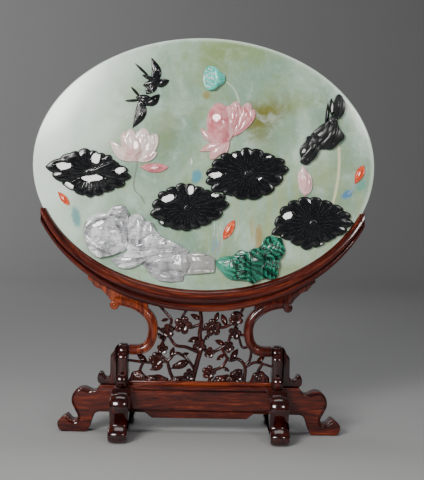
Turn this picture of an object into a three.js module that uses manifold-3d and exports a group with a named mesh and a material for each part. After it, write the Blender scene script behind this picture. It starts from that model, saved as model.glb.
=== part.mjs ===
// An oval jade plaque with a lotus pond in applied hardstones, standing in a carved hardwood stand.
// Millimetres, +Z up, X to the viewer's right, -Y towards the viewer. The origin is on the floor,
// under the middle of the stand. Every outline is drawn in the front view, as [x, z].
import * as THREE from "three";
import Module from "manifold-3d";
import { mergeVertices } from "three/addons/utils/BufferGeometryUtils.js";

const wasm = await Module();
wasm.setup();

// ---------------------------------------------------------------- driving dimensions

const gap = 0.3; // room left between pieces that fit one another along a curve

const plaque = { halfWidth: 170, halfHeight: 126.6, thickness: 8, centre: 266.6, edge: 1.2, segments: 32 };
const face = -plaque.thickness / 2; // the front face, which all the stone pieces sit on

const cradle = {
  halfWidth: 175.5, // outer ellipse, concentric with the plaque
  halfHeight: 145,
  hornX: 160.5, // the horns are cut upright here
  hornTop: 222,
  hornAngle: 72, // degrees from straight down that the crescent runs to
  halfDepth: 11,
  cover: 3, // how far each lip reaches over the plaque
  steps: 24,
};

const foot = {
  width: 18.4, // thickness of the two cross feet
  centreX: 77, // each cross foot, post and scroll meets here
  top: 47,
  arch: 20.3, // height of the arch between two toes
  lap: 33.5, // height at which rail and cross foot lap over each other
};
const rail = { halfDepth: 9, apronBottom: 15, apronHalf: 47, apronRise: 54 };
const post = { halfWidth: 5.5, halfDepth: 5.5, top: 88 };
const standingBracket = { width: 9.6 };
const scroll = { thickness: 9.4, depth: 16, steps: 15 };
const panel = { halfDepth: 3.5, strip: 51 };

const leafLook = { rim: 2.2, crown: 4.5, dish: 2.9, notch: 0.13, valley: 1.3, steps: 3 };
const petalRim = 1.1;

// ---------------------------------------------------------------- materials

const paint = (color, roughness) => new THREE.MeshStandardMaterial({ color, roughness, metalness: 0 });
const jade = paint(0xa3b0a2, 0.3);
const blackStone = paint(0x17181a, 0.18);
const roseQuartz = paint(0xc9a3a2, 0.25);
const paleQuartz = paint(0xc3b4ad, 0.25);
const turquoise = paint(0x63c2ae, 0.4);
const marble = paint(0x9c9da0, 0.35);
const malachite = paint(0x1d7a5b, 0.25);
const coral = paint(0xe06a4e, 0.35);
const hardwood = paint(0x4a1712, 0.25);

// ---------------------------------------------------------------- making and joining solids

// A closed geometry as a solid that can be joined and cut.
function solidOf(geometry) {
  const bare = geometry.index ? geometry.toNonIndexed() : geometry.clone();
  bare.deleteAttribute("normal");
  bare.deleteAttribute("uv");
  const merged = mergeVertices(bare, 1e-4);
  const vertProperties = merged.attributes.position.array;
  const triVerts = new Uint32Array(merged.index.array);
  return new wasm.Manifold(new wasm.Mesh({ numProp: 3, vertProperties, triVerts }));
}

function geometryOf(solid) {
  const mesh = solid.getMesh();
  const geometry = new THREE.BufferGeometry();
  geometry.setAttribute("position", new THREE.BufferAttribute(mesh.vertProperties, 3));
  geometry.setIndex(new THREE.BufferAttribute(mesh.triVerts, 1));
  geometry.computeVertexNormals();
  return geometry;
}

function join(geometries) {
  return geometryOf(geometries.map(solidOf).reduce((whole, piece) => whole.add(piece)));
}

function cut(geometry, tools) {
  return geometryOf(tools.map(solidOf).reduce((rest, tool) => rest.subtract(tool), solidOf(geometry)));
}

// Boards cut from an outline: one faces the viewer, the other faces sideways, drawn as [y, z].
function board(outline, front, back) {
  const shape = new THREE.Shape(outline.map(([x, z]) => new THREE.Vector2(x, z)));
  const geometry = new THREE.ExtrudeGeometry(shape, { depth: back - front, bevelEnabled: false, steps: 1 });
  const upright = new THREE.Matrix4().set(1, 0, 0, 0, 0, 0, -1, back, 0, 1, 0, 0, 0, 0, 0, 1);
  return geometry.applyMatrix4(upright);
}

function sideBoard(outline, left, right) {
  const shape = new THREE.Shape(outline.map(([y, z]) => new THREE.Vector2(y, z)));
  const geometry = new THREE.ExtrudeGeometry(shape, { depth: right - left, bevelEnabled: false, steps: 1 });
  const sideways = new THREE.Matrix4().set(0, 0, 1, left, 1, 0, 0, 0, 0, 1, 0, 0, 0, 0, 0, 1);
  return geometry.applyMatrix4(sideways);
}

function block(x0, x1, y0, y1, z0, z1) {
  const box = new THREE.BoxGeometry(x1 - x0, y1 - y0, z1 - z0);
  return box.translate((x0 + x1) / 2, (y0 + y1) / 2, (z0 + z1) / 2);
}

// A closed skin over rings of points. A ring of one point is a pole; any other first or last ring is
// closed flat, with the triangles that its plan in two dimensions needs.
function skin(rings, plan) {
  const starts = rings.map((ring, k) => rings.slice(0, k).reduce((sum, r) => sum + r.length, 0));
  const faces = [];
  for (let k = 0; k + 1 < rings.length; k++) {
    const around = Math.max(rings[k].length, rings[k + 1].length);
    const index = (ring, j) => starts[ring] + (rings[ring].length === 1 ? 0 : j % around);
    for (let j = 0; j < around; j++) {
      if (rings[k].length > 1) faces.push([index(k, j), index(k, j + 1), index(k + 1, j + 1)]);
      if (rings[k + 1].length > 1) faces.push([index(k, j), index(k + 1, j + 1), index(k + 1, j)]);
    }
  }
  for (const k of [0, rings.length - 1]) {
    if (rings[k].length === 1) continue;
    const turn = Math.sign(THREE.ShapeUtils.area(plan));
    for (const [a, b, c] of THREE.ShapeUtils.triangulateShape(plan, [])) {
      const same = Math.sign(THREE.ShapeUtils.area([plan[a], plan[b], plan[c]])) === turn;
      const along = same === (k > 0) ? [a, b, c] : [a, c, b];
      faces.push(along.map((i) => starts[k] + i));
    }
  }
  const points = rings.flat();
  const volume = faces.reduce((sum, [a, b, c]) => {
    return sum + points[a].dot(new THREE.Vector3().crossVectors(points[b], points[c]));
  }, 0);
  const outward = volume < 0 ? faces.map(([a, b, c]) => [a, c, b]) : faces;
  const geometry = new THREE.BufferGeometry().setFromPoints(points);
  geometry.setIndex(outward.flat());
  return geometry;
}

// A carved mound with a flat back on the plaque's face. `shares` are the rings between outline and
// centre, as shares of the way out, and `height` gives the relief at a share and a place.
function mound(outline, centre, shares, height) {
  const at = (share, [x, z], i) => {
    const px = centre[0] + share * (x - centre[0]);
    const pz = centre[1] + share * (z - centre[1]);
    return [px, pz, i / outline.length];
  };
  const raised = (share) => (point, i) => {
    const [x, z, turn] = at(share, point, i);
    return new THREE.Vector3(x, face - height(share, turn, x, z), z);
  };
  return skin([
    [new THREE.Vector3(centre[0], face, centre[1])],
    outline.map(([x, z]) => new THREE.Vector3(x, face, z)),
    ...shares.map((share) => outline.map(raised(share))),
    [raised(0)(outline[0], 0)],
  ]);
}

// ---------------------------------------------------------------- outlines of the stone pieces

// A scalloped outline: lobes are [degrees, reach] round a centre, with a notch between each two.
function lobed(centre, lobes, notch, steps) {
  return lobes.flatMap(([angle, reach], i) => {
    const [nextAngle, nextReach] = lobes[(i + 1) % lobes.length];
    const span = (nextAngle - angle + 360) % 360;
    return Array.from({ length: steps }, (_, k) => {
      const t = (k + 0.5) / steps;
      const fall = notch * (1 - Math.abs(Math.cos(Math.PI * t)) ** 0.7);
      const radius = THREE.MathUtils.lerp(reach, nextReach, t) * (1 - fall);
      const turn = THREE.MathUtils.degToRad(angle + span * t);
      return [centre[0] + radius * Math.cos(turn), centre[1] + radius * Math.sin(turn)];
    });
  });
}

// A petal's outline from base to tip: `widest` is where along it, `blunt` under 1 rounds the ends.
function petalOutline({ base, tip, width, widest = 0.5, blunt = 0.75, bend = 0 }, steps) {
  const along = [tip[0] - base[0], tip[1] - base[1]];
  const length = Math.hypot(...along);
  const side = [-along[1] / length, along[0] / length];
  const skew = Math.log(0.5) / Math.log(widest);
  const point = (share, way) => {
    const u = (1 - Math.cos(Math.PI * share)) / 2;
    const half = (width / 2) * Math.sin(Math.PI * u ** skew) ** blunt || 0;
    const off = way * half + bend * Math.sin(Math.PI * u);
    return [base[0] + u * along[0] + off * side[0], base[1] + u * along[1] + off * side[1]];
  };
  const there = Array.from({ length: steps }, (_, k) => point(k / steps, -1));
  const back = Array.from({ length: steps }, (_, k) => point(1 - k / steps, 1));
  return [...there, ...back];
}

// One petal, wing or bud: a pillow that is highest along its middle.
function petal(form, steps = 5) {
  const outline = petalOutline(form, steps);
  const { base, tip, high, bend = 0, rim = petalRim } = form;
  const length = Math.hypot(tip[0] - base[0], tip[1] - base[1]);
  const centre = [
    (base[0] + tip[0]) / 2 - (bend * (tip[1] - base[1])) / length,
    (base[1] + tip[1]) / 2 + (bend * (tip[0] - base[0])) / length,
  ];
  return mound(outline, centre, [1, 0.55], (share) => rim + (high - rim) * (1 - share ** 2));
}

// ---------------------------------------------------------------- stone pieces on the plaque

function jadePanel() {
  const shape = new THREE.Shape();
  shape.absellipse(0, 0, plaque.halfWidth, plaque.halfHeight, 0, 2 * Math.PI);
  const geometry = new THREE.ExtrudeGeometry(shape, {
    depth: plaque.thickness - 2 * plaque.edge,
    bevelThickness: plaque.edge,
    bevelSize: plaque.edge,
    bevelOffset: -plaque.edge,
    bevelSegments: 1,
    curveSegments: plaque.segments,
  });
  const back = plaque.thickness / 2 - plaque.edge;
  const upright = new THREE.Matrix4().set(1, 0, 0, 0, 0, 0, -1, back, 0, 1, 0, plaque.centre, 0, 0, 0, 1);
  return geometry.applyMatrix4(upright);
}

// A lotus leaf seen from above: a scalloped rim, a fluted crown and a dished middle.
const leaves = {
  leaf_left: {
    nub: [-113, 258],
    lobes: [
      [7, 36.5], [24, 27.5], [40, 26.5], [57, 22.8], [76, 21.8], [102, 24], [137, 27], [174, 43.5], [190, 35.5],
      [211, 28], [247, 24.3], [271, 25], [294, 24.6], [318, 27.3], [339, 36], [355, 40.6],
    ],
  },
  leaf_middle: {
    nub: [-15.5, 224.5],
    lobes: [
      [6, 42], [20, 39], [36, 29], [61, 24], [82, 24], [107, 25.4], [134, 27], [152, 31.5], [174, 34.8],
      [191, 37.5], [216, 30.8], [239, 25], [271, 23], [296, 22.3], [321, 25.6], [346, 33.8],
    ],
  },
  leaf_upper: {
    nub: [44, 260],
    lobes: [
      [7, 40.5], [22, 38], [40, 29.4], [67, 25.9], [97, 25.6], [123, 25], [142, 31], [163, 36.5], [180, 41.4],
      [193, 42.8], [207, 39.5], [227, 29.5], [252, 27], [287, 27], [322, 30], [347, 34],
    ],
  },
  leaf_right: {
    nub: [109.5, 212.5],
    lobes: [
      [0, 39.8], [13, 38], [31, 31.5], [55, 26], [82, 25], [113, 27], [138, 30.6], [157, 34.6], [179, 37.5],
      [197, 42.5], [209, 33.4], [229, 28.8], [256, 28.2], [286, 24.6], [319, 25], [343, 33.6],
    ],
  },
};

function lotusLeaf({ nub, lobes }) {
  const { rim, crown, dish, notch, valley, steps } = leafLook;
  const outline = lobed(nub, lobes, notch, steps);
  const height = (share, turn) => {
    if (share === 0) return dish;
    const flute = Math.sin(Math.PI * lobes.length * turn) ** 2;
    return (share === 1 ? rim : crown) - valley * flute * (share === 1 ? 0.5 : 1);
  };
  return mound(outline, nub, [1, 0.74], height);
}

// The leaf seen from the side, curled over itself: a body, a hanging lobe, a crown and a thin finger.
const foldedLeaf = [
  {
    centre: [122, 299],
    outline: [
      [127.6, 320], [124.4, 317.6], [122, 313], [116, 310], [109, 303.6], [104, 298], [108, 291], [113.4, 284.6],
      [119, 285.4], [125, 284.4], [130, 286.8], [134, 292], [138.4, 295], [139.6, 299], [137, 302.4],
      [133.6, 306], [131.8, 312], [131, 319],
    ],
    lumps: [[126, 300, 26, 6.6], [113, 292, 18, 5.6], [128, 314, 14, 5]],
  },
  {
    centre: [104, 284],
    outline: [
      [101, 297.8], [100.6, 292.6], [97, 289.4], [94.4, 284], [95, 279], [96.6, 275.4], [95, 272.4], [98, 269.6],
      [103, 268.8], [107, 273], [111, 276.4], [114, 283], [115, 289], [112, 296.6], [106, 299],
    ],
    lumps: [[106, 286, 24, 5.8], [101, 275, 12, 4.4]],
  },
  {
    centre: [133, 328],
    outline: [
      [131, 340], [134, 340.6], [136.4, 336.6], [139.2, 331], [139, 325], [137, 318.6], [133, 315], [129.4, 317.4],
      [127.4, 323], [127.4, 330], [129, 336],
    ],
    lumps: [[133, 328, 26, 5.4]],
  },
];
const foldedFingers = [
  { base: [126.6, 318], tip: [125.2, 336.5], width: 4.6, high: 3 },
  { base: [119.6, 308], tip: [122, 332], width: 4, blunt: 0.9, high: 2.8, bend: -1 },
];

const flowers = {
  flower_pale: [
    { base: [-70, 272], tip: [-80, 300], width: 13, widest: 0.6, high: 3.6 },
    { base: [-66, 270], tip: [-93.5, 291], width: 14, widest: 0.45, blunt: 0.9, high: 4.4, bend: 3 },
    { base: [-64, 270], tip: [-45, 280], width: 9, blunt: 0.8, high: 3.8 },
    { base: [-62, 271], tip: [-49, 299], width: 17, widest: 0.56, high: 5 },
    { base: [-68, 270], tip: [-68, 303.5], width: 21, widest: 0.55, high: 6.6 },
  ],
  flower_pale_petal: [{ base: [-63, 264], tip: [-35, 265], width: 9.4, widest: 0.5, high: 4.2 }],
  flower_pink: [
    { base: [31, 298], tip: [51, 323], width: 9, widest: 0.6, high: 3.4 },
    { base: [29, 297], tip: [46.5, 330.5], width: 11, widest: 0.62, high: 3.9 },
    { base: [28, 296], tip: [37.5, 328.5], width: 9.5, widest: 0.6, high: 4.5 },
    { base: [27, 294], tip: [28, 332], width: 13, widest: 0.6, high: 4.4 },
    { base: [23, 290], tip: [23, 326], width: 20, widest: 0.52, high: 5.2 },
    { base: [17, 288], tip: [-4.5, 304], width: 9.5, widest: 0.5, blunt: 0.9, high: 3.8, bend: 2 },
    { base: [22, 289], tip: [-4.5, 281], width: 8.5, widest: 0.5, blunt: 0.85, high: 4, bend: -1.5 },
    { base: [22, 290], tip: [5, 273.5], width: 12.5, widest: 0.5, high: 3.4 },
    { base: [18.5, 287.5], tip: [12.5, 329.5], width: 24, widest: 0.52, blunt: 0.62, high: 7.4 },
  ],
  flower_bud: [{ base: [102.5, 238.5], tip: [98.5, 268.5], width: 14.6, widest: 0.42, high: 6 }],
};

// Each coral bud is a closed flower bud on edge, and each swallow is a flat carving of a few strokes.
const coralBuds = {
  coral_bud_left: [{ base: [-133.5, 225.5], tip: [-144.5, 237], width: 6.4, widest: 0.5, high: 2.6 }],
  coral_bud_middle: [{ base: [21, 194.5], tip: [31.5, 212.5], width: 8, widest: 0.5, high: 2.8 }],
  coral_bud_right: [{ base: [151.2, 252.5], tip: [159.5, 269.5], width: 7, widest: 0.58, high: 2.8 }],
};

const swallows = {
  swallow_upper: [
    { base: [-62, 345], tip: [-43, 348.5], width: 9, high: 3 },
    { base: [-49, 345.5], tip: [-35.8, 350.8], width: 8.6, widest: 0.42, high: 3.6 },
    { base: [-50, 348], tip: [-54.2, 373], width: 10.5, widest: 0.34, blunt: 0.9, high: 3, bend: -3 },
    { base: [-49, 350], tip: [-58.5, 336.5], width: 11, widest: 0.45, high: 2.6 },
    { base: [-49, 350], tip: [-63, 355.5], width: 4.4, high: 2.4 },
    { base: [-55, 353], tip: [-70.5, 367], width: 2.8, high: 2 },
  ],
  swallow_lower: [
    { base: [-69, 333.5], tip: [-50, 329.5], width: 9, high: 3 },
    { base: [-61, 326], tip: [-45, 336.6], width: 9.4, widest: 0.5, high: 3.6, bend: -2 },
    { base: [-63, 332], tip: [-71.6, 302.6], width: 11.5, widest: 0.42, blunt: 0.9, high: 3, bend: 3.4 },
    { base: [-64, 330.5], tip: [-80, 329.4], width: 3, high: 2 },
    { base: [-64, 333], tip: [-74, 343.8], width: 3, high: 2 },
  ],
};

// The lotus pod: a cone lying on the plaque, its flat mouth turned to the left and to the viewer.
function seedPod() {
  const rings = [
    { x: 3.5, z: 353.3, radius: 11.6, lean: 5.6, out: 3.6 },
    { x: 7.5, z: 353.3, radius: 11.2, lean: 4.6, out: 4 },
    { x: 13.5, z: 353, radius: 7.2, lean: 2, out: 3 },
    { x: 18.5, z: 352.6, radius: 4.4, lean: 0.6, out: 1.6 },
  ];
  const steps = 14;
  const turns = Array.from({ length: steps }, (_, k) => (2 * Math.PI * k) / steps);
  const ring = ({ x, z, radius, lean, out }) =>
    turns.map((a) => {
      const across = Math.cos(a);
      return new THREE.Vector3(x + lean * across, face - out - out * across, z + radius * Math.sin(a));
    });
  const plan = turns.map((a) => new THREE.Vector2(Math.cos(a), Math.sin(a)));
  const seeds = [[0, 0], [0.55, 0], [-0.55, 0], [0.28, 0.58], [-0.28, 0.58], [0.28, -0.58], [-0.28, -0.58]];
  const mouth = rings[0];
  const seed = ([u, v]) => {
    const bump = new THREE.OctahedronGeometry(1.9, 0).scale(0.8, 0.8, 1);
    const across = mouth.x + mouth.lean * u - 0.2;
    return bump.translate(across, face - mouth.out - mouth.out * u, mouth.z + mouth.radius * v);
  };
  const behind = block(-40, 60, face, face + 40, 320, 390);
  return cut(join([skin(rings.map(ring), plan), ...seeds.map(seed)]), [behind]);
}

// ---------------------------------------------------------------- rocks

// Relief of a rock: the highest of a few blunt lumps, [x, z, reach, height], over a low foot.
const lumpy = (foothill, lumps) => (share, turn, x, z) => {
  const heights = lumps.map(([lx, lz, reach, high]) => high * (1 - Math.hypot(x - lx, z - lz) / reach));
  return Math.max(foothill, ...heights);
};

const rocks = {
  rock_boulder: [
    {
      centre: [-95, 198],
      outline: [
        [-118, 195], [-117.5, 206], [-111, 214], [-104, 218.6], [-95, 217.6], [-91, 223], [-85, 226.6],
        [-78, 225], [-73.4, 219], [-73.4, 210], [-74.6, 200], [-74, 190], [-73.6, 184.6], [-78, 179.8],
        [-90, 175.4], [-102, 172.8], [-110, 177], [-116, 186],
      ],
      lumps: [[-99, 203, 30, 10], [-82, 217, 16, 8], [-98, 184, 22, 7.5], [-82, 194, 18, 8]],
    },
  ],
  rock_ridge: [
    {
      centre: [-58, 191],
      outline: [
        [-72.8, 211], [-69, 217], [-62, 216.6], [-57, 211.5], [-50, 209], [-46, 201], [-40, 195.5], [-30, 191],
        [-18, 185], [-12.4, 181.6], [-14.4, 178.6], [-25, 177.6], [-38, 178.4], [-49, 176.4], [-62, 177],
        [-72.4, 179], [-73, 184], [-73.4, 192],
      ],
      lumps: [[-62, 203, 20, 9], [-52, 203, 12, 7.5], [-50, 186, 26, 7], [-30, 183, 24, 5]],
    },
    {
      centre: [-72, 171],
      outline: [
        [-90.6, 171.6], [-76, 176.4], [-72, 181], [-60, 180], [-50, 179], [-49.4, 176], [-60, 168.4],
        [-72, 163.4], [-82, 163.6], [-88, 168],
      ],
      lumps: [[-74, 172, 22, 6.5], [-58, 175, 16, 6]],
    },
  ],
  rock_slab: [
    {
      centre: [-28, 166],
      outline: [
        [-58.4, 167.2], [-48.6, 174.6], [-38, 177.2], [-25, 176.4], [-14, 177.2], [-9.6, 180.4], [1, 180.4],
        [8, 176.6], [13, 171], [13, 161], [-1, 159.2], [-18.4, 157.8], [-19, 151.6], [-30, 150.4],
        [-42, 151.4], [-50, 156], [-55, 162.4],
      ],
      lumps: [[-40, 168, 26, 8], [-20, 167, 22, 6.4], [0, 170, 18, 6], [-34, 154, 14, 5]],
    },
  ],
};

const carvedBodies = (bodies, foothill, shares) =>
  bodies.map(({ centre, outline, lumps }) => mound(outline, centre, shares, lumpy(foothill, lumps)));

// The malachite is carved as a rock of stepped layers on both sides of one sharp ridge.
function malachiteRock() {
  const outline = [
    [14, 172], [15, 165], [20, 161], [24, 156], [31, 153], [38, 153.6], [45, 153.2], [50, 149.6], [54, 152],
    [60, 155.6], [68, 155], [74, 155.6], [76, 160], [75, 165], [78, 168.6], [77, 174], [81, 179], [83, 184],
    [80.6, 190], [79, 196.6], [72, 198.6], [66, 199], [61, 195.4], [58, 188], [55, 186], [50, 185.6],
    [46, 182], [43, 182.6], [39, 184], [35, 182.6], [31, 177.6], [22, 177], [16, 174.6],
  ];
  const lumps = [[47, 170, 28, 9.5], [27, 166, 22, 6.4], [68, 186, 20, 8.5], [68, 166, 18, 7.5], [39, 180, 9, 6]];
  const layered = lumpy(2.4, lumps);
  const stepped = (share, turn, x, z) => layered(share, turn, x, z) + (share < 1 ? 0.5 * Math.sin(z * 0.9) : 0);
  return mound(outline, [50, 168], [1, 0.76, 0.5, 0.25], stepped);
}

// ---------------------------------------------------------------- the hardwood stand

const ellipsePoint = (halfWidth, halfHeight, angle) => [
  halfWidth * Math.sin(angle),
  plaque.centre - halfHeight * Math.cos(angle),
];

const cradleAngles = Array.from({ length: cradle.steps + 1 }, (_, k) => {
  return THREE.MathUtils.degToRad(cradle.hornAngle) * ((2 * k) / cradle.steps - 1);
});

// The cradle: a moulded channel swept along the plaque's lower edge, thinning towards the horns.
function cradleRail() {
  const groove = plaque.thickness / 2 + gap;
  const { halfDepth, cover } = cradle;
  const rows = [
    // how far out, as millimetres and as a share of the thickness, and how deep
    [-cover, 0, -groove], [-cover, 0, -groove - 2.4], [0.4, 0, -halfDepth + 0.5], [0, 0.3, -halfDepth],
    [0, 0.52, -halfDepth + 0.8], [0, 0.6, -halfDepth + 2.2], [0, 0.7, -halfDepth + 0.9],
    [0, 0.92, -halfDepth + 0.9], [0, 1, -halfDepth + 2.4],
    [0, 1, halfDepth - 1.8], [-1.4, 1, halfDepth - 0.4], [-cover + 2, 0, halfDepth - 0.4],
    [-cover, 0, halfDepth - 2.6], [-cover, 0, groove], [gap, 0, groove], [gap, 0, -groove],
  ];
  const rings = cradleAngles.map((angle) => {
    const [ix, iz] = ellipsePoint(plaque.halfWidth, plaque.halfHeight, angle);
    const [ox, oz] = ellipsePoint(cradle.halfWidth, cradle.halfHeight, angle);
    const thickness = Math.hypot(ox - ix, oz - iz);
    return rows.map(([mm, share, y]) => {
      const out = mm / thickness + share;
      return new THREE.Vector3(ix + out * (ox - ix), y, iz + out * (oz - iz));
    });
  });
  const plan = rows.map(([mm, share, y]) => new THREE.Vector2(mm + 12 * share, y));
  const { hornX, hornTop } = cradle;
  const sides = [-1, 1].map((side) => {
    const [near, far] = side < 0 ? [-hornX - 60, -hornX] : [hornX, hornX + 60];
    return block(near, far, -40, 40, 60, 300);
  });
  return cut(skin(rings, plan), [...sides, block(-300, 300, -40, 40, hornTop, hornTop + 90)]);
}

// A bar with softened corners along a flat route: a C-scroll, or a cutter a little larger than one.
function bar(route, thickness, depth, steps) {
  const curve = new THREE.CatmullRomCurve3(route.map(([x, z]) => new THREE.Vector3(x, 0, z)));
  const t = thickness / 2;
  const d = depth / 2;
  const soft = Math.min(t, d) * 0.45;
  const section = [
    [t, -d + soft], [t, d - soft], [t - soft, d], [-t + soft, d],
    [-t, d - soft], [-t, -d + soft], [-t + soft, -d], [t - soft, -d],
  ];
  const rings = Array.from({ length: steps + 1 }, (_, k) => {
    const at = curve.getPointAt(k / steps);
    const way = curve.getTangentAt(k / steps);
    return section.map(([n, y]) => new THREE.Vector3(at.x + n * way.z, y, at.z - n * way.x));
  });
  return skin(rings, section.map(([n, y]) => new THREE.Vector2(n, y)));
}

const mirrored = (points, side) => points.map(([x, z]) => [side * x, z]);

const scrollRoute = [
  [71, 82.2], [62, 82.2], [54.4, 85], [49.4, 92], [47.6, 102], [49.2, 111.6], [55, 119.6], [64, 126],
  [75, 129.8], [86, 131.4],
];
const scrollKnob = { centre: [86.4, 126.6], radius: 4.6 };

// Stepped cusps that carry the scroll's upper arm out along the underside of the cradle.
const cuspedWeb = [
  [52, 122], [64, 126], [75, 130], [86, 130], [91, 131], [92.6, 135], [96.4, 138.4], [100, 142.4], [104.6, 143.4],
  [107.6, 146.4], [109.6, 150], [114, 152.6], [112, 158], [96, 150], [74, 138], [54, 131],
];

// What the cradle's underside keeps clear of the pieces below it.
function cradleEnvelope() {
  const { halfWidth, halfHeight } = cradle;
  return board(cradleAngles.map((angle) => ellipsePoint(halfWidth + gap, halfHeight + gap, angle)), -30, 30);
}

// What the cradle's front lip keeps clear of the stones above it.
function lipEnvelope() {
  const inner = cradle.cover + 2 * gap;
  const { halfWidth, halfHeight } = plaque;
  const above = cradleAngles.map((angle) => ellipsePoint(halfWidth - inner, halfHeight - inner, angle));
  const below = cradleAngles.map((angle) => ellipsePoint(cradle.halfWidth, cradle.halfHeight, angle));
  return board([...above, ...below.reverse()], face - 30, face + 1);
}

function scrollBracket(side) {
  const arm = bar(mirrored(scrollRoute, side), scroll.thickness, scroll.depth, scroll.steps);
  const web = board(mirrored(cuspedWeb, side), -scroll.depth / 2 + 1.2, scroll.depth / 2 - 1.2);
  const { centre, radius } = scrollKnob;
  const round = Array.from({ length: 10 }, (_, k) => {
    const turn = (2 * Math.PI * k) / 10;
    return [centre[0] + radius * Math.cos(turn), centre[1] + radius * Math.sin(turn)];
  });
  const knob = board(mirrored(round, side), -scroll.depth / 2 + 0.6, scroll.depth / 2 - 0.6);
  return cut(join([arm, web, knob]), [cradleEnvelope()]);
}

function postPiece(side) {
  const { halfWidth, top } = post;
  const x = side * foot.centreX;
  const outline = [
    [x - halfWidth, foot.top], [x + halfWidth, foot.top], [x + halfWidth, top - 2.5], [x + halfWidth - 2.5, top],
    [x - halfWidth + 2.5, top], [x - halfWidth, top - 2.5],
  ];
  return board(outline, -post.halfDepth, post.halfDepth);
}

// A standing bracket's outline: a shouldered blade with a small scrolled toe, from the post outwards.
const bracketOutline = [
  [post.halfWidth, 0], [20.5, 0], [23.6, 0.9], [25.4, 4], [25.2, 8.4], [23.4, 12], [21, 13], [19, 11],
  [17.2, 8.2], [14.6, 7.8], [12.8, 9.8], [12.8, 28], [11.8, 30.6], [9.4, 33.4], [8, 37], [post.halfWidth, 40],
].map(([out, up]) => [out, up + foot.top]);

function outerBracket(side) {
  const outline = bracketOutline.map(([out, z]) => [side * (foot.centreX + out), z]);
  return board(outline, -standingBracket.width / 2, standingBracket.width / 2);
}

function endBracket(side, way) {
  const x = side * foot.centreX;
  const outline = bracketOutline.map(([out, z]) => [way * out, z]);
  return sideBoard(outline, x - standingBracket.width / 2, x + standingBracket.width / 2);
}

// Half of a scrolled foot, from the crossing outwards: top, cove, shoulder, neck, curled toe and heel.
const footOutline = [
  [22.4, foot.top], [24, 44.6], [26.4, 41.8], [30, 40.8], [34, 42.6], [38, 43.9], [43.4, 43.2], [48, 39.4],
  [50.2, 33.6], [49.8, 28], [47, 22.4], [44.4, 17.6], [43.8, 14.4], [46, 11.8], [50, 11.8], [53, 15],
  [55.4, 16.6], [59, 14.8], [63, 11], [64, 7.4], [62.8, 3], [59.6, 0], [35, 0], [31.6, 5.6], [29.4, 12.4],
  [26.8, 18.2], [23, foot.arch],
];

function crossFoot(side) {
  const outline = [...footOutline, ...footOutline.map(([y, z]) => [-y, z]).reverse()];
  const x = side * foot.centreX;
  const beam = sideBoard(outline, x - foot.width / 2, x + foot.width / 2);
  const seat = block(x - 20, x + 20, -rail.halfDepth, rail.halfDepth, foot.lap, foot.top + 10);
  return cut(beam, [seat]);
}

function baseRail() {
  const { halfDepth, apronBottom, apronHalf, apronRise } = rail;
  const apron = [[apronRise, foot.arch], [apronHalf, apronBottom]];
  const right = [...footOutline.map(([out, z]) => [foot.centreX + out, z]), ...apron];
  const outline = [...right, ...mirrored(right, -1).reverse()];
  const seats = [-1, 1].map((side) => {
    const x = side * foot.centreX;
    return block(x - foot.width / 2, x + foot.width / 2, -20, 20, -10, foot.lap);
  });
  return cut(board(outline, -halfDepth, halfDepth), seats);
}

// ---------------------------------------------------------------- the openwork panel

// Branches are strips along smooth routes, each with the width of its ends.
const branches = [
  { route: [[-8, 50], [-5, 62], [-2, 74], [1, 86], [-1, 98], [0.5, 110], [-1, 123]], wide: 6.4, thin: 4.4 },
  { route: [[-2, 80], [-14, 85], [-25, 87], [-33, 97], [-46, 106]], wide: 4.2, thin: 3.2 },
  { route: [[-34, 100], [-29.5, 111], [-34, 118], [-42, 127]], wide: 3.8, thin: 3.2 },
  { route: [[-5, 62], [-13, 73], [-24, 79], [-33, 71], [-50, 69], [-72, 71]], wide: 3.6, thin: 3.2 },
  { route: [[-33, 71], [-41, 80], [-34, 98]], wide: 4, thin: 3.6 },
  { route: [[1, 84], [12, 81], [21, 85], [28, 91], [31, 98], [46, 98]], wide: 4.2, thin: 3.4 },
  { route: [[21, 85], [29, 73], [38, 74], [45, 66], [44, 50]], wide: 3.6, thin: 4.4 },
  { route: [[44, 66], [50, 74], [50, 86], [42, 86], [38, 97]], wide: 3.6, thin: 3 },
  { route: [[45, 66], [56, 71], [72, 67]], wide: 3.6, thin: 3 },
  { route: [[0, 103], [13, 105], [24, 106], [35, 113], [43, 127]], wide: 4, thin: 3.4 },
  { route: [[-1, 108], [-12, 105], [-19, 113], [-14, 124]], wide: 3.8, thin: 3.2 },
  { route: [[9, 50], [12, 61], [22, 66], [28, 76]], wide: 4.2, thin: 3.4 },
  { route: [[-33, 71], [-30, 60], [-25, 50]], wide: 3.8, thin: 4.4 },
  { route: [[-57, 69], [-60, 60], [-56, 50]], wide: 3.4, thin: 4 },
  { route: [[62, 69], [58, 60], [62, 50]], wide: 3.4, thin: 4 },
];

// Blossoms are [x, z, reach]; leaves and the small birds are petals lying in the panel.
const blossoms = [
  [-18, 107, 9.6], [12, 105, 9.4], [35, 114, 7.6], [34, 100, 7], [-33, 101, 7.4], [-1, 87, 7.4], [9, 80, 6],
  [-44, 72, 8], [28, 86, 6.4], [9, 60, 7.6], [-10, 57, 7], [38, 56, 7], [-38, 83, 6],
];
const panelLeaves = [
  [-1, 95, -12, 91], [0, 113, -10, 117.5], [14, 110, 17, 120], [26, 106.5, 21, 118], [43, 117, 33, 121],
  [-32, 113, -39.5, 111], [3, 92, 9, 98], [24.6, 79, 17, 73], [30, 72, 37, 83], [56, 70.5, 64, 77],
  [-53, 70, -63, 76.5], [-20, 76, -12, 79], [-30, 74, -27, 84], [25, 88, 15, 92], [-43, 99, -37, 92],
  [22, 66, 29, 62],
].map(([x0, z0, x1, z1]) => ({ base: [x0, z0], tip: [x1, z1], width: 5 }));
const mounds = [[-62, 51, 9, 11], [-44, 51, 13, 7], [-20, 51, 11, 6], [25, 51, 13, 8], [60, 51, 10, 12]];
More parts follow.
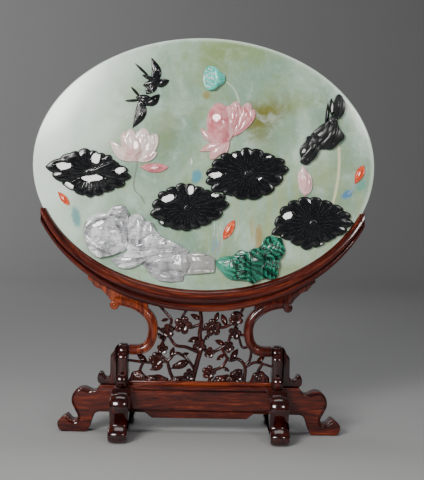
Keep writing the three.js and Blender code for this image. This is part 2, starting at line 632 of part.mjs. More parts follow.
const birds = [
  { base: [-30, 63], tip: [-11, 71], width: 8.6, widest: 0.6 },
  { base: [-51, 61.4], tip: [-37, 66.6], width: 7, widest: 0.6 },
  { base: [28, 57], tip: [43, 63], width: 7, widest: 0.6 },
];

function strip({ route, wide, thin }) {
  const curve = new THREE.SplineCurve(route.map(([x, z]) => new THREE.Vector2(x, z)));
  const steps = route.length - 1;
  const edge = (k, way) => {
    const at = curve.getPointAt(k / steps);
    const along = curve.getTangentAt(k / steps);
    const half = (way * THREE.MathUtils.lerp(wide, thin, k / steps)) / 2;
    return [at.x - half * along.y, at.y + half * along.x];
  };
  const there = Array.from({ length: steps + 1 }, (_, k) => edge(k, -1));
  const back = Array.from({ length: steps + 1 }, (_, k) => edge(steps - k, 1));
  return board([...there, ...back], -panel.halfDepth + 0.6, panel.halfDepth - 0.6);
}

function blossom([x, z, reach], index) {
  const lobes = Array.from({ length: 5 }, (_, k) => [(72 * k + 25 * index) % 360, reach]);
  lobes.sort((a, b) => a[0] - b[0]);
  const outline = lobed([x, z], lobes, 0.34, 3);
  return board(outline, -panel.halfDepth, panel.halfDepth);
}

function openworkPanel() {
  const { halfDepth, strip: top } = panel;
  const inner = foot.centreX - post.halfWidth;
  const hills = mounds.map(([x, z, reach, high]) => {
    const outline = Array.from({ length: 6 }, (_, k) => {
      return [x - reach * Math.cos((Math.PI * k) / 5), z + high * Math.sin((Math.PI * k) / 5) - 0.5];
    });
    return board(outline.reverse(), -halfDepth + 0.2, halfDepth - 0.2);
  });
  const whole = join([
    board([[-inner, foot.top], [inner, foot.top], [inner, top], [-inner, top]], -halfDepth, halfDepth),
    ...branches.map(strip),
    ...blossoms.map(blossom),
    ...hills,
    ...panelLeaves.map((form) => board(petalOutline(form, 2), -halfDepth + 0.9, halfDepth - 0.9)),
    ...birds.map((form) => board(petalOutline(form, 3), -halfDepth, halfDepth)),
  ]);
  const room = [-1, 1].map((side) => {
    return bar(mirrored(scrollRoute, side), scroll.thickness + 2 * gap, scroll.depth, scroll.steps);
  });
  const beyond = [block(inner, inner + 60, -40, 40, 0, 200), block(-inner - 60, -inner, -40, 40, 0, 200)];
  return cut(whole, [...room, ...beyond, cradleEnvelope()]);
}

// ---------------------------------------------------------------- the whole object

const whole = new THREE.Group();
const stand = new THREE.Group();
const pond = new THREE.Group();
whole.add(stand, pond);

function add(group, name, geometry, material) {
  const mesh = new THREE.Mesh(geometry, material);
  mesh.name = name;
  group.add(mesh);
}

add(stand, "base_rail", baseRail(), hardwood);
add(stand, "openwork_panel", openworkPanel(), hardwood);
add(stand, "cradle", cradleRail(), hardwood);
for (const [side, word] of [[-1, "left"], [1, "right"]]) {
  add(stand, `cross_foot_${word}`, crossFoot(side), hardwood);
  add(stand, `post_${word}`, postPiece(side), hardwood);
  add(stand, `scroll_bracket_${word}`, scrollBracket(side), hardwood);
  add(stand, `standing_bracket_${word}_outer`, outerBracket(side), hardwood);
  add(stand, `standing_bracket_${word}_front`, endBracket(side, -1), hardwood);
  add(stand, `standing_bracket_${word}_back`, endBracket(side, 1), hardwood);
}

add(pond, "jade_panel", jadePanel(), jade);

// Where two stone pieces meet, the lower one is trimmed round the other, with a little room.
const roomAround = (outline, centre) => {
  const grown = outline.map(([x, z]) => {
    const reach = Math.hypot(x - centre[0], z - centre[1]);
    const scale = (reach + 2 * gap) / reach;
    return [centre[0] + scale * (x - centre[0]), centre[1] + scale * (z - centre[1])];
  });
  return board(grown, face - 30, face + 1);
};
const leafRoom = (name) => {
  const { nub, lobes } = leaves[name];
  return roomAround(lobed(nub, lobes, leafLook.notch, leafLook.steps), nub);
};

for (const [name, leaf] of Object.entries(leaves)) {
  const carved = lotusLeaf(leaf);
  add(pond, name, name === "leaf_middle" ? cut(carved, [leafRoom("leaf_upper")]) : carved, blackStone);
}
const fingers = foldedFingers.map((form) => petal(form, 4));
add(pond, "leaf_folded", join([...carvedBodies(foldedLeaf, 1.8, [1, 0.62]), ...fingers]), blackStone);

const petals = (forms) => join(forms.map((form) => petal(form)));
add(pond, "flower_pale", petals(flowers.flower_pale), paleQuartz);
add(pond, "flower_pale_petal", petals(flowers.flower_pale_petal), roseQuartz);
add(pond, "flower_pink", cut(petals(flowers.flower_pink), [leafRoom("leaf_upper")]), roseQuartz);
add(pond, "flower_bud", cut(petals(flowers.flower_bud), [leafRoom("leaf_right")]), roseQuartz);
add(pond, "seed_pod", seedPod(), turquoise);

for (const [name, forms] of Object.entries(coralBuds)) add(pond, name, petals(forms), coral);

add(pond, "swallow_upper", petals(swallows.swallow_upper), blackStone);
add(pond, "swallow_lower", petals(swallows.swallow_lower), blackStone);

for (const [name, bodies] of Object.entries(rocks)) {
  add(pond, name, cut(join(carvedBodies(bodies, 2.2, [1, 0.8, 0.55, 0.3])), [lipEnvelope()]), marble);
}
add(pond, "malachite_rock", cut(malachiteRock(), [leafRoom("leaf_right"), lipEnvelope()]), malachite);

export default whole;
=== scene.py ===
# A jade table screen: an oval plaque with a lotus pond of applied stones, in a carved hardwood stand.
# Sizes are in millimetres in the dictionaries and become metres when a mesh is made.
import math

import bmesh
import bpy
import numpy as np
from mathutils import Matrix, Vector


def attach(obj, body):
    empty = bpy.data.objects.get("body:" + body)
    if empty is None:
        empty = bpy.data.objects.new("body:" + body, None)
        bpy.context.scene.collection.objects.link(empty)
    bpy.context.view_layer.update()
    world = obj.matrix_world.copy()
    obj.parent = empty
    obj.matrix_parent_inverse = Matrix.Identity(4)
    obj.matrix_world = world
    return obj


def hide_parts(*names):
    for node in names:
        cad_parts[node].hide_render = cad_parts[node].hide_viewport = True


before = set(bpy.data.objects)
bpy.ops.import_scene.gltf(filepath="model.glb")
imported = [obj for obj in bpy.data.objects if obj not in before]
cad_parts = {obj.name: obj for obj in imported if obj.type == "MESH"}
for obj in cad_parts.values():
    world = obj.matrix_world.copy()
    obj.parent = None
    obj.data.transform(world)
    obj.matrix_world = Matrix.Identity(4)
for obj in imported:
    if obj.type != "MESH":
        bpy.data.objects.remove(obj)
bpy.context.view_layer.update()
mm = 0.001
plaque = {"halfWidth": 170.0, "halfHeight": 126.6, "centre": 266.6, "halfDepth": 4.0, "round": 1.4}
face = -plaque["halfDepth"]  # the plaque's front, where every stone is glued

view = {"place": (0.0, -1.0, 0.213), "lens": 75.0, "pitch": 1.15, "yaw": 0.545, "roll": 1.1}
# name: place, aim, size, watts, colour
lamps = {
    "keySoftbox": ((-0.55, -1.15, 0.62), (0, 0, 0.26), (0.45, 0.35), 18.5, (1.0, 0.985, 0.96)),
    "rightSoftbox": ((0.5, -1.1, 0.55), (0, 0, 0.2), (0.18, 0.18), 3.0, (1.0, 0.98, 0.95)),
    "overhead": ((0.0, 0.1, 1.7), (0, 0, 0), (1.0, 0.8), 7.6, (0.98, 0.99, 1.0)),
    "backdropLamp": ((-2.4, 1.2, 1.4), (-0.6, 4.2, 0.7), (1.0, 1.0), 37.0, (1.0, 1.0, 1.0)),
}


# mesh helpers

def newPiece(name, points, faces, material, sharp=38, rim=None):
    mesh = bpy.data.meshes.new(name)
    mesh.from_pydata((np.asarray(points, float) * mm).tolist(), [], faces)
    if rim is not None:  # 0 in a carving's middle, 1 at its outline, for the finishes
        mesh.attributes.new("rim", "FLOAT", "POINT").data.foreach_set("value", rim)
    piece = bpy.data.objects.new(name, mesh)
    bpy.context.scene.collection.objects.link(piece)
    if material:
        mesh.materials.append(material)
    tidyMesh(piece, sharp)
    return piece


def tidyMesh(piece, sharp=38):
    shell = bmesh.new()
    shell.from_mesh(piece.data)
    bmesh.ops.remove_doubles(shell, verts=shell.verts, dist=2e-6)
    bmesh.ops.dissolve_degenerate(shell, edges=shell.edges, dist=1e-7)
    bmesh.ops.recalc_face_normals(shell, faces=shell.faces)
    for side in shell.faces:
        side.smooth = True
    shell.to_mesh(piece.data)
    shell.free()
    piece.data.set_sharp_from_angle(angle=math.radians(sharp))


def applied(piece):
    graph = bpy.context.evaluated_depsgraph_get()
    mesh = bpy.data.meshes.new_from_object(piece.evaluated_get(graph))
    piece.modifiers.clear()
    piece.data = mesh
    return piece


def dropPiece(piece):
    mesh = piece.data
    bpy.data.objects.remove(piece)
    if mesh.users == 0:
        bpy.data.meshes.remove(mesh)


# joins or cuts closed pieces and removes the tools
def carve(piece, tools, operation, sharp=38):
    for tool in tools:
        change = piece.modifiers.new("carve", "BOOLEAN")
        change.operation, change.solver, change.object = operation, "EXACT", tool
    applied(piece)
    tidyMesh(piece, sharp)
    for tool in tools:
        dropPiece(tool)
    return piece


# puts loose pieces into one object without cutting them
def gathered(name, pieces, material=None):
    shell = bmesh.new()
    for part in pieces:
        shell.from_mesh(part.data)
    mesh = bpy.data.meshes.new(name)
    shell.to_mesh(mesh)
    shell.free()
    mesh.materials.append(material or pieces[0].data.materials[0])
    for part in pieces:
        dropPiece(part)
    piece = bpy.data.objects.new(name, mesh)
    bpy.context.scene.collection.objects.link(piece)
    return piece


def softened(piece, width, segments=3, angle=50):
    edge = piece.modifiers.new("edge", "BEVEL")
    edge.width, edge.segments, edge.limit_method = width * mm, segments, "ANGLE"
    edge.angle_limit = math.radians(angle)
    applied(piece)
    tidyMesh(piece)
    return piece


def fitted(piece, slot, *nodes):
    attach(piece, "root")
    if nodes:
        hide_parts(*nodes)
    return piece


# closed skin over rings of points, with poles or flat caps at its ends
def skinFaces(sizes):
    starts = np.concatenate([[0], np.cumsum(sizes)])
    faces = []
    for k in range(len(sizes) - 1):
        around = max(sizes[k], sizes[k + 1])
        for j in range(around):
            j2 = (j + 1) % around
            a, b = starts[k] + (j if sizes[k] > 1 else 0), starts[k] + (j2 if sizes[k] > 1 else 0)
            c, d = starts[k + 1] + (j2 if sizes[k + 1] > 1 else 0), starts[k + 1] + (j
                    if sizes[k + 1] > 1 else 0)
            corners = [int(a), int(b), int(c), int(d)]
            faces.append([v for i, v in enumerate(corners) if v not in corners[:i]])
    for k in (0, len(sizes) - 1):
        if sizes[k] > 1:
            faces.append([int(starts[k] + j) for j in range(sizes[k])])
    return faces


def skin(name, rings, material, sharp=38, rims=None):
    rings = [np.atleast_2d(np.asarray(ring, float)) for ring in rings]
    rim = np.concatenate([np.full(len(ring), share) for ring, share in zip(rings, rims)]) if rims else None
    return newPiece(name, np.vstack(rings), skinFaces([len(ring) for ring in rings]), material, sharp, rim)


def splineThrough(points, perSpan, closed=False):
    pts = np.asarray(points, float)
    n = len(pts)
    out = []
    for i in range(n if closed else n - 1):
        if closed:
            p0, p1, p2, p3 = pts[i - 1], pts[i], pts[(i + 1) % n], pts[(i + 2) % n]
        else:
            p1, p2 = pts[i], pts[i + 1]
            p0 = pts[i - 1] if i else 2 * p1 - p2
            p3 = pts[i + 2] if i + 2 < n else 2 * p2 - p1
        for k in range(perSpan):
            t = k / perSpan
            out.append(0.5 * ((2 * p1) + (p2 - p0) * t + (2 * p0 - 5 * p1 + 4 * p2 - p3) * t**2
                              + (3 * p1 - p0 - 3 * p2 + p3) * t**3))
    if not closed:
        out.append(pts[-1])
    return np.array(out)


# rounds corners by cutting them, so the outline stays inside its own corners
def cornerCut(points, rounds=2):
    pts = np.asarray(points, float)
    for _ in range(rounds):
        nxt = np.roll(pts, -1, axis=0)
        pts = np.stack([0.75 * pts + 0.25 * nxt, 0.25 * pts + 0.75 * nxt], axis=1).reshape(-1, 2)
    return pts


def evenly(points, spacing):
    pts = np.vstack([points, points[:1]])
    run = np.concatenate([[0], np.cumsum(np.hypot(*np.diff(pts, axis=0).T))])
    count = max(12, int(run[-1] / spacing))
    at = np.linspace(0, run[-1], count, endpoint=False)
    return np.column_stack([np.interp(at, run, pts[:, 0]), np.interp(at, run, pts[:, 1])])


def smoothStep(low, high, value):
    t = np.clip((value - low) / (high - low), 0, 1)
    return t * t * (3 - 2 * t)


def strokeDistance(line, x, z):
    best = np.full(np.shape(x), 1e9)
    for (ax, az), (bx, bz) in zip(line[:-1], line[1:]):
        dx, dz = bx - ax, bz - az
        t = np.clip(((x - ax) * dx + (z - az) * dz) / (dx * dx + dz * dz + 1e-9), 0, 1)
        best = np.minimum(best, np.hypot(x - ax - t * dx, z - az - t * dz))
    return best


# smooth seeded noise over the front view, about one wave in `size` mm
def ripple(x, z, size, seed):
    rng = np.random.default_rng(seed)
    total = 0
    for _ in range(5):
        way, start = rng.uniform(0, 2 * math.pi, 2)
        pitch = size * rng.uniform(0.7, 1.6)
        total = total + np.sin((x * math.cos(way) + z * math.sin(way)) * 2 * math.pi / pitch + start)
    return total / 5


# the slopes to the right and upwards that show the key light to the camera at a place on the front
def keySlopes(x, z):
    at = Vector((x * mm, face * mm, z * mm))
    normal = (Vector(view["place"]) - at).normalized() + (Vector(lamps["keySoftbox"][0]) - at).normalized()
    return normal.x / normal.y, normal.z / normal.y


# flat polished places: x, z, half width, half height, turn, top
def polished(h, x, z, facets, waves=0.10):
    for fx, fz, rx, rz, tilt, top in facets:
        c, s = math.cos(math.radians(tilt)), math.sin(math.radians(tilt))
        right, up = keySlopes(fx, fz)
        u, v = ((x - fx) * c + (z - fz) * s) / rx, ((z - fz) * c - (x - fx) * s) / rz
        flat = top + right * (x - fx) + up * (z - fz) + 0.02 * ripple(x, z, 4, int(abs(fx)) % 97)
        flat = flat - 0.004 * rx * u * u - 0.004 * rz * v * v
        away = np.hypot(u, v) + waves * ripple(x, z, 7, int(abs(fz)) % 89)
        h = h + (flat - h) * smoothStep(1.2, 0.82, away)
    return h


# a carving with a flat back on the plaque: `height` gives the relief at a share of the way out
def relief(name, outline, centre, shares, height, material, sharp=38, back=face):
    outline, centre = np.asarray(outline, float), np.asarray(centre, float)
    n = len(outline)
    turn = np.arange(n) / n
    rings = [[[centre[0], back, centre[1]]],
             np.column_stack([outline[:, 0], np.full(n, back), outline[:, 1]])]
    for share in shares:
        at = centre + share * (outline - centre)
        rings.append(np.column_stack([at[:, 0], face - height(share, turn, at[:, 0], at[:, 1]), at[:, 1]]))
    top = height(0.0, np.zeros(1), centre[:1], centre[1:])
    rings.append([[centre[0], face - float(top[0]), centre[1]]])
    return skin(name, rings, material, sharp, [1, 1] + list(shares) + [0])


def board(name, outline, front, back, material, sideways=False):
    outline = np.asarray(outline, float)
    rings = []
    for depth in (front, back):
        column = np.full(len(outline), depth)
        if sideways:
            rings.append(np.column_stack([column, outline[:, 0], outline[:, 1]]))
        else:
            rings.append(np.column_stack([outline[:, 0], column, outline[:, 1]]))
    return skin(name, rings, material)


# a cushioned beam: an outline drawn in to both ends of its width, which runs along x or y
def pillow(name, outline, middle, half, reach, deep, material, sideways=False, steps=7):
    outline = evenly(outline, 0.9)
    before, after = np.roll(outline, 1, axis=0), np.roll(outline, -1, axis=0)
    way = (after - before) / (np.hypot(*(after - before).T)[:, None] + 1e-9)
    inward = np.column_stack([-way[:, 1], way[:, 0]])
    area = np.sum(outline[:, 0] * after[:, 1] - after[:, 0] * outline[:, 1])
    inward *= 1 if area > 0 else -1
    ends = [(half - reach + reach * math.sin(a), deep * (1 - math.cos(a)))
            for a in np.linspace(math.pi / 2, 0, steps)]
    slices = [(-at, inset) for at, inset in ends] + [(at, inset) for at, inset in ends[::-1]]
    rings = []
    for at, inset in slices:
        shape, column = outline + inset * inward, np.full(len(outline), middle + at)
        rings.append(np.column_stack([column, shape] if sideways else [shape[:, 0], column, shape[:, 1]]))
    return skin(name, rings, material, 50)


# shader helpers

# a value in a shader that can be used in plain expressions
class Value:
    def __init__(self, shader, socket):
        self.shader, self.socket = shader, socket

    def made(self, operation, *others, clamp=False):
        settings = {"operation": operation, "use_clamp": clamp}
        return self.shader.node("ShaderNodeMath", settings, dict(enumerate(others)))

    def __add__(self, other):
        return self.made("ADD", self, other)

    def __radd__(self, other):
        return self.made("ADD", other, self)

    def __sub__(self, other):
        return self.made("SUBTRACT", self, other)

    def __rsub__(self, other):
        return self.made("SUBTRACT", other, self)

    def __mul__(self, other):
        return self.made("MULTIPLY", self, other)

    def __rmul__(self, other):
        return self.made("MULTIPLY", other, self)

    def __truediv__(self, other):
        return self.made("DIVIDE", self, other)

    def __rtruediv__(self, other):
        return self.made("DIVIDE", other, self)

    def __pow__(self, other):
        return self.made("POWER", self, other)

    def __abs__(self):
        return self.made("ABSOLUTE", self)

    def kept(self):
        return self.made("ADD", self, 0.0, clamp=True)

    # 0 below `low` and 1 above `high`, smooth between, or the other way round when they are swapped
    def step(self, low, high):
        values = {"Value": self, "From Min": low, "From Max": high}
        return self.shader.node("ShaderNodeMapRange", {"interpolation_type": "SMOOTHSTEP"}, values)


class Shader:
    def __init__(self, name, roughness=0.3, coat=0.0, coatRoughness=0.05):
        self.material = bpy.data.materials.new(name)
        self.material.use_nodes = True
        self.tree = self.material.node_tree
        self.tree.nodes.clear()
        out = self.tree.nodes.new("ShaderNodeOutputMaterial")
        self.surface = self.tree.nodes.new("ShaderNodeBsdfPrincipled")
        self.tree.links.new(self.surface.outputs[0], out.inputs[0])
        self.surface.inputs["Roughness"].default_value = roughness
        self.surface.inputs["Coat Weight"].default_value = coat
        self.surface.inputs["Coat Roughness"].default_value = coatRoughness
        place = self.node("ShaderNodeTexCoord", {}, {}, "Object")
        self.place = self.node("ShaderNodeVectorMath", {"operation": "SCALE"}, {0: place, "Scale": 1000.0},
                               0)
        parts = self.tree.nodes.new("ShaderNodeSeparateXYZ")
        self.tree.links.new(self.place.socket, parts.inputs[0])
        self.x, self.y, self.z = [Value(self, parts.outputs[k]) for k in range(3)]

    # any node: its settings first, then the values or links of its sockets
    def node(self, kind, settings, values, output=0):
        made = self.tree.nodes.new(kind)
        for key, setting in settings.items():
            if key == "stops":
                ramp = made.color_ramp
                while len(ramp.elements) < len(setting):
                    ramp.elements.new(0.5)
                for element, (at, colour) in zip(ramp.elements, setting):
                    element.position, element.color = at, (*colour, 1)
            elif key == "curve":
                line = made.mapping.curves[0]
                while len(line.points) < len(setting):
                    line.points.new(0.5, 0.5)
                for point, (px, py) in zip(line.points, setting):
                    point.location = (px, py)
                made.mapping.update()
            else:
                setattr(made, key, setting)
        for key, value in values.items():
            socket = made.inputs[key]
            if isinstance(value, Value):
                self.tree.links.new(value.socket, socket)
            elif isinstance(value, (tuple, list)) and len(value) == 3 and socket.type == "RGBA":
                socket.default_value = (*value, 1)
            else:
                socket.default_value = value
        return Value(self, made.outputs[output])

    def spread(self, scales, shift=(0, 0, 0)):
        return self.node("ShaderNodeMapping", {},
                         {"Vector": self.place, "Scale": scales, "Location": shift})

    def read(self, name):
        return self.node("ShaderNodeAttribute", {"attribute_name": name}, {}, "Fac")

    def noise(self, scale, detail=3.0, roughness=0.5, distortion=0.0, at=None, output=0):
        values = {"Vector": at or self.place, "Scale": scale, "Detail": detail, "Roughness": roughness,
                  "Distortion": distortion}
        return self.node("ShaderNodeTexNoise", {}, values, output)

    def mix(self, factor, first, second, blend="MIX"):
        made = self.tree.nodes.new("ShaderNodeMix")
        made.data_type, made.blend_type, made.clamp_factor = "RGBA", blend, True
        for socket, value in ((made.inputs[0], factor), (made.inputs[6], first), (made.inputs[7], second)):
            if isinstance(value, Value):
                self.tree.links.new(value.socket, socket)
            else:
                socket.default_value = (*value, 1) if isinstance(value, tuple) else value
        return Value(self, made.outputs[2])

    def ramp(self, factor, stops):
        return self.node("ShaderNodeValToRGB", {"stops": stops}, {"Fac": factor})

    # 1 on open surfaces, towards 0 in the hollows of a carving; the finishes use it to paint shade into
    # hollows
    def open(self, reach):
        settings = {"samples": 6, "only_local": True}
        return self.node("ShaderNodeAmbientOcclusion", settings, {"Distance": reach * mm}, "AO")

    # how far a place in the front view is from a centre, as a share of the ellipse's reach
    def spot(self, x, z, reachX, reachZ, turn=0.0):
        c, s = math.cos(math.radians(turn)), math.sin(math.radians(turn))
        dx, dz = self.x - x, self.z - z
        across = (dx * c + dz * s) / reachX
        along = (dz * c - dx * s) / reachZ
        return (across * across + along * along) ** 0.5

    def finish(self, colour=None, bump=None, bumpDepth=0.1, **inputs):
        if colour is not None:
            self.tree.links.new(colour.socket, self.surface.inputs["Base Color"])
        for name, value in inputs.items():
            self.tree.links.new(value.socket, self.surface.inputs[name])
        if bump is not None:
            settings = {"Height": bump, "Distance": bumpDepth * mm, "Strength": 1.0}
            normal = self.node("ShaderNodeBump", {}, settings)
            self.tree.links.new(normal.socket, self.surface.inputs["Normal"])
        return self.material


# stone and wood finishes

jadeLook = {
    "pale": (0.42, 0.56, 0.425),
    "aqua": (0.25, 0.39, 0.285),
    "white": (0.84, 0.98, 0.87),
    "olive": (0.18, 0.17, 0.035),
    "moss": (0.25, 0.33, 0.12),
    "roughness": 0.16,
}

# painted stems: points from top to bottom, half width, colour
stems = [
    ([(-66, 271), (-67, 262), (-69, 252), (-69, 244), (-62, 235), (-58, 228)], 0.75, (0.20, 0.25, 0.20)),
    ([(20, 350.5), (25, 347), (30, 341), (33, 333), (34, 329)], 0.8, (0.56, 0.66, 0.50)),
    ([(133.6, 289), (134.6, 270), (132, 245), (128.5, 231)], 1.3, (0.74, 0.72, 0.47)),
    ([(153, 254), (149, 247), (144, 241)], 1.2, (0.28, 0.42, 0.50)),
    ([(20.5, 195), (15, 184), (8, 175)], 1.1, (0.42, 0.38, 0.30)),
    ([(26, 297), (23.5, 286), (25.5, 274)], 0.8, (0.30, 0.36, 0.27)),
    ([(101.5, 239), (101.8, 235), (102.4, 231)], 1.1, (0.70, 0.52, 0.47)),
]
# brushed dabs: x, z, reach across, reach along, turn, strength, colour
dabs = [
    (-126, 213, 5.5, 13, 12, 0.8, (0.12, 0.33, 0.34)),
    (-7, 256, 6, 9, -10, 0.9, (0.09, 0.33, 0.44)),
    (13, 186, 5, 11, 0, 0.7, (0.20, 0.36, 0.50)),
    (143.5, 241, 7.5, 4.6, 30, 0.95, (0.09, 0.25, 0.46)),
    (157, 250, 5, 8, -25, 0.75, (0.13, 0.40, 0.33)),
    (1, 337, 5, 4.6, 10, 0.75, (0.32, 0.25, 0.06)),
    (56, 196, 4.5, 17, 0, 0.7, (0.40, 0.24, 0.08)),
    (49, 205, 2.5, 16, 4, 0.5, (0.45, 0.36, 0.12)),
    (34, 200, 2.0, 9, -14, 0.5, (0.66, 0.70, 0.62)),
    (-12.5, 270.5, 1.1, 4.5, 5, 0.85, (0.86, 0.88, 0.84)),
]


def celadonJade():
    look = jadeLook
    s = Shader("celadonJade", look["roughness"], 0.0)
    clouds = s.noise(0.014, 4, 0.6, 0.6)
    wisps = s.noise(0.030, 5, 0.6, 1.2, s.spread((1, 1, 0.45), (40, 0, 10)))
    colour = s.mix(clouds.step(0.36, 0.66), look["aqua"], look["pale"])
    colour = s.mix(wisps.step(0.52, 0.78) * 0.45, colour, look["moss"])
    for x, z, across, along, turn, depth, shade in (
        (60, 320, 34, 16, 20, 0.95, "olive"), (54, 306, 17, 24, 10, 0.60, "olive"),
        (30, 381, 50, 13, 4, 0.7, "moss"), (-38, 302, 15, 24, -12, 0.40, "olive"),
        (5, 368, 20, 24, 0, 0.55, "moss"), (96, 330, 30, 9, 10, 0.45, "moss"),
        (-142, 226, 16, 11, 30, 0.50, "moss"), (70, 160, 60, 11, 4, 0.45, "moss"),
        (124, 268, 24, 22, 0, 0.26, "moss"), (106, 282, 24, 22, 0, 0.30, "white"),
    ):
        near = s.spot(x, z, across, along, turn) + (s.noise(0.06, 4, 0.6, 0.5) - 0.5) * 1.5
        colour = s.mix(near.step(1.35, 0.25) * depth, colour, look[shade])
    patches = s.noise(0.045, 4, 0.62, 0.3, s.spread((1, 1, 1), (120, 0, 70)))
    colour = s.mix(patches.step(0.50, 0.66) * 0.5, colour, (0.26, 0.37, 0.17))
    colour = s.mix(patches.step(0.48, 0.32) * 0.45, colour, (0.57, 0.71, 0.66))
    curtain = s.noise(0.16, 3, 0.6, 0.4, s.spread((1, 1, 0.07), (7, 0, 3))).step(0.42, 0.72)
    lower = s.z.step(300, 250) * s.x.step(-20, 30)
    colour = s.mix(curtain * lower * 0.45, colour, (0.42, 0.47, 0.20))
    # paler towards the upper left: partly the jade's own tone, partly painted light on the side facing the
    # key lamp
    upperLeftPaleAndPaintedLight = (s.x * -1.0 + (s.z - 266) * 0.35 + (s.noise(0.02, 4, 0.6, 0.8) - 0.5) * 60).step(70, 150)
    colour = s.mix(upperLeftPaleAndPaintedLight * 0.88, colour, look["white"])
    # paler in a band along the plaque's edge: partly the jade's own tone, partly a painted highlight on the
    # rounded edge
    across, up = s.x / plaque["halfWidth"], (s.z - plaque["centre"]) / plaque["halfHeight"]
    away = across ** 2.0 + up ** 2.0
    colour = s.mix(away.step(0.93, 1.0) * 0.55, colour, look["white"])
    veins = abs(s.noise(0.02, 6, 0.62, 1.6, s.spread((1, 1, 1), (90, 0, 40))) - 0.5)
    colour = s.mix(veins.step(0.03, 0.0) * 0.07, colour, (0.84, 0.88, 0.82))
    front = s.y.step(-3.0, -3.6)
    for x, z, across, along, turn, depth, shade in dabs:
        near = s.spot(x, z, across, along, turn) + (s.noise(0.25, 3, 0.6) - 0.5) * 0.8
        colour = s.mix(near.step(1.1, 0.45) * depth * front, colour, shade)
    for points, half, shade in stems:
        points = points[::-1]
        low, high = points[0][1], points[-1][1]
        left, right = min(p[0] for p in points) - 1, max(p[0] for p in points) + 1
        share = (s.z - low) / (high - low)
        curve = [((pz - low) / (high - low), (px - left) / (right - left)) for px, pz in points]
        middle = s.node("ShaderNodeFloatCurve", {"curve": curve}, {"Value": share}) * (right - left) + left
        brush = abs(s.x - middle) + (s.noise(0.5, 2) - 0.5) * half * 0.8
        inside = share.step(-0.02, 0.02) * share.step(1.02, 0.98)
        colour = s.mix(brush.step(half + 0.45, half - 0.25) * inside * front * 0.85, colour, shade)
    blades = s.noise(0.55, 2, 0.5, 0.5, s.spread((1, 1, 0.06), (0, 0, 11)))
    grass = blades.step(0.50, 0.66) * s.spot(14, 192, 17, 19).step(1.05, 0.6)
    colour = s.mix(grass * front * 0.75, colour, (0.36, 0.42, 0.17))
    pale = blades.step(0.40, 0.30) * s.spot(12, 195, 16, 20).step(1.0, 0.5)
    colour = s.mix(pale * front * 0.75, colour, (0.80, 0.86, 0.80))
    s.surface.inputs["Subsurface Weight"].default_value = 0.12
    s.surface.inputs["Subsurface Radius"].default_value = (0.004, 0.005, 0.004)
    s.surface.inputs["Subsurface Scale"].default_value = 1.0
    return s.finish(colour, s.noise(0.09, 2), 0.06)


# `nub` is where a leaf's veins meet
def blackStone(name="blackStone", nub=None, dull=0.0):
    s = Shader(name, 0.1, 0.4 - dull, 0.10 + dull / 2)
    s.surface.inputs["Specular IOR Level"].default_value = 0.35
    tint = s.noise(0.05, 4, 0.6, 0.5)
    colour = s.ramp(tint, [(0.3, (0.0035, 0.0038, 0.0045)), (0.6, (0.007, 0.008, 0.009)),
                           (0.8, (0.016, 0.015, 0.017))])
    hair = abs(s.noise(0.05, 6, 0.7, 2.0) - 0.5)
    colour = s.mix(hair.step(0.012, 0.0) * 0.5, colour, (0.035, 0.036, 0.040))
    worn = s.noise(0.3, 4, 0.6).step(0.45, 0.8) * 0.06 + 0.13 + dull
    if nub:
        outer = (s.read("rim") + (s.noise(0.4, 2) - 0.5) * 0.1).step(0.86, 0.94)  # the rim is less polished
        worn = worn + outer * 0.12
        s.tree.links.new((0.4 - outer * 0.36).socket, s.surface.inputs["Coat Weight"])
        # paler lines radiating from the nub along the carved veins: a painted sheen standing in for light
        # caught by the veins
        angle = s.node("ShaderNodeMath", {"operation": "ARCTAN2"}, {0: s.z - nub[1], 1: s.x - nub[0]})
        reach = s.spot(nub[0], nub[1], 42, 30)
        wander = angle * 28.0 + (s.noise(0.10, 3) - 0.5) * 12
        line = wander.made("SINE", wander).step(0.55, 1.0) * reach.step(0.02, 0.10) * reach.step(1.0, 0.25)
        colour = s.mix(line * s.noise(0.4, 3).step(0.35, 0.75), colour, (0.045, 0.043, 0.048))
    return s.finish(colour, s.noise(0.35, 3, 0.6), 0.03, Roughness=worn)


def quartz(name, pale, deep, milky):
    s = Shader(name, 0.14, 0.3, 0.05)
    rim = s.read("rim") + (s.noise(0.3, 3) - 0.5) * 0.25
    clouds = s.noise(0.07, 4, 0.6, 0.8)
    colour = s.mix(clouds.step(0.35, 0.65), deep, pale)
    colour = s.mix(s.noise(0.16, 5, 0.65, 1.0).step(0.55, 0.78) * 0.5, colour, milky)
    # painted shade: deeper colour where the relief is low, near the plaque
    colour = s.mix(s.y.step(-7.5, -4.4) * 0.55, colour, deep)
    colour = s.mix(rim.step(0.84, 1.02) * 0.45, colour, milky)
    s.surface.inputs["Subsurface Weight"].default_value = 0.15
    s.surface.inputs["Subsurface Radius"].default_value = (0.004, 0.0025, 0.0022)
    s.surface.inputs["Subsurface Scale"].default_value = 1.0
    return s.finish(colour, s.noise(0.3, 2), 0.05)


def turquoiseStone():
    s = Shader("turquoise", 0.3, 0.2, 0.1)
    clouds = s.noise(0.25, 4, 0.6, 0.6)
    colour = s.ramp(clouds, [(0.3, (0.03, 0.44, 0.34)), (0.5, (0.09, 0.68, 0.55)),
                             (0.72, (0.45, 0.92, 0.84))])
    web = abs(s.noise(0.22, 4, 0.6, 1.2) - 0.5)
    colour = s.mix(web.step(0.02, 0.0) * 0.6, colour, (0.04, 0.16, 0.14))
    return s.finish(colour, s.noise(0.8, 3), 0.08)


def seedStone():
    s = Shader("seedStone", 0.2, 0.3, 0.05)
    colour = s.mix(s.noise(0.5, 2).step(0.4, 0.6), (0.62, 0.55, 0.60), (0.82, 0.80, 0.80))
    return s.finish(colour, s.noise(0.9, 2), 0.04)


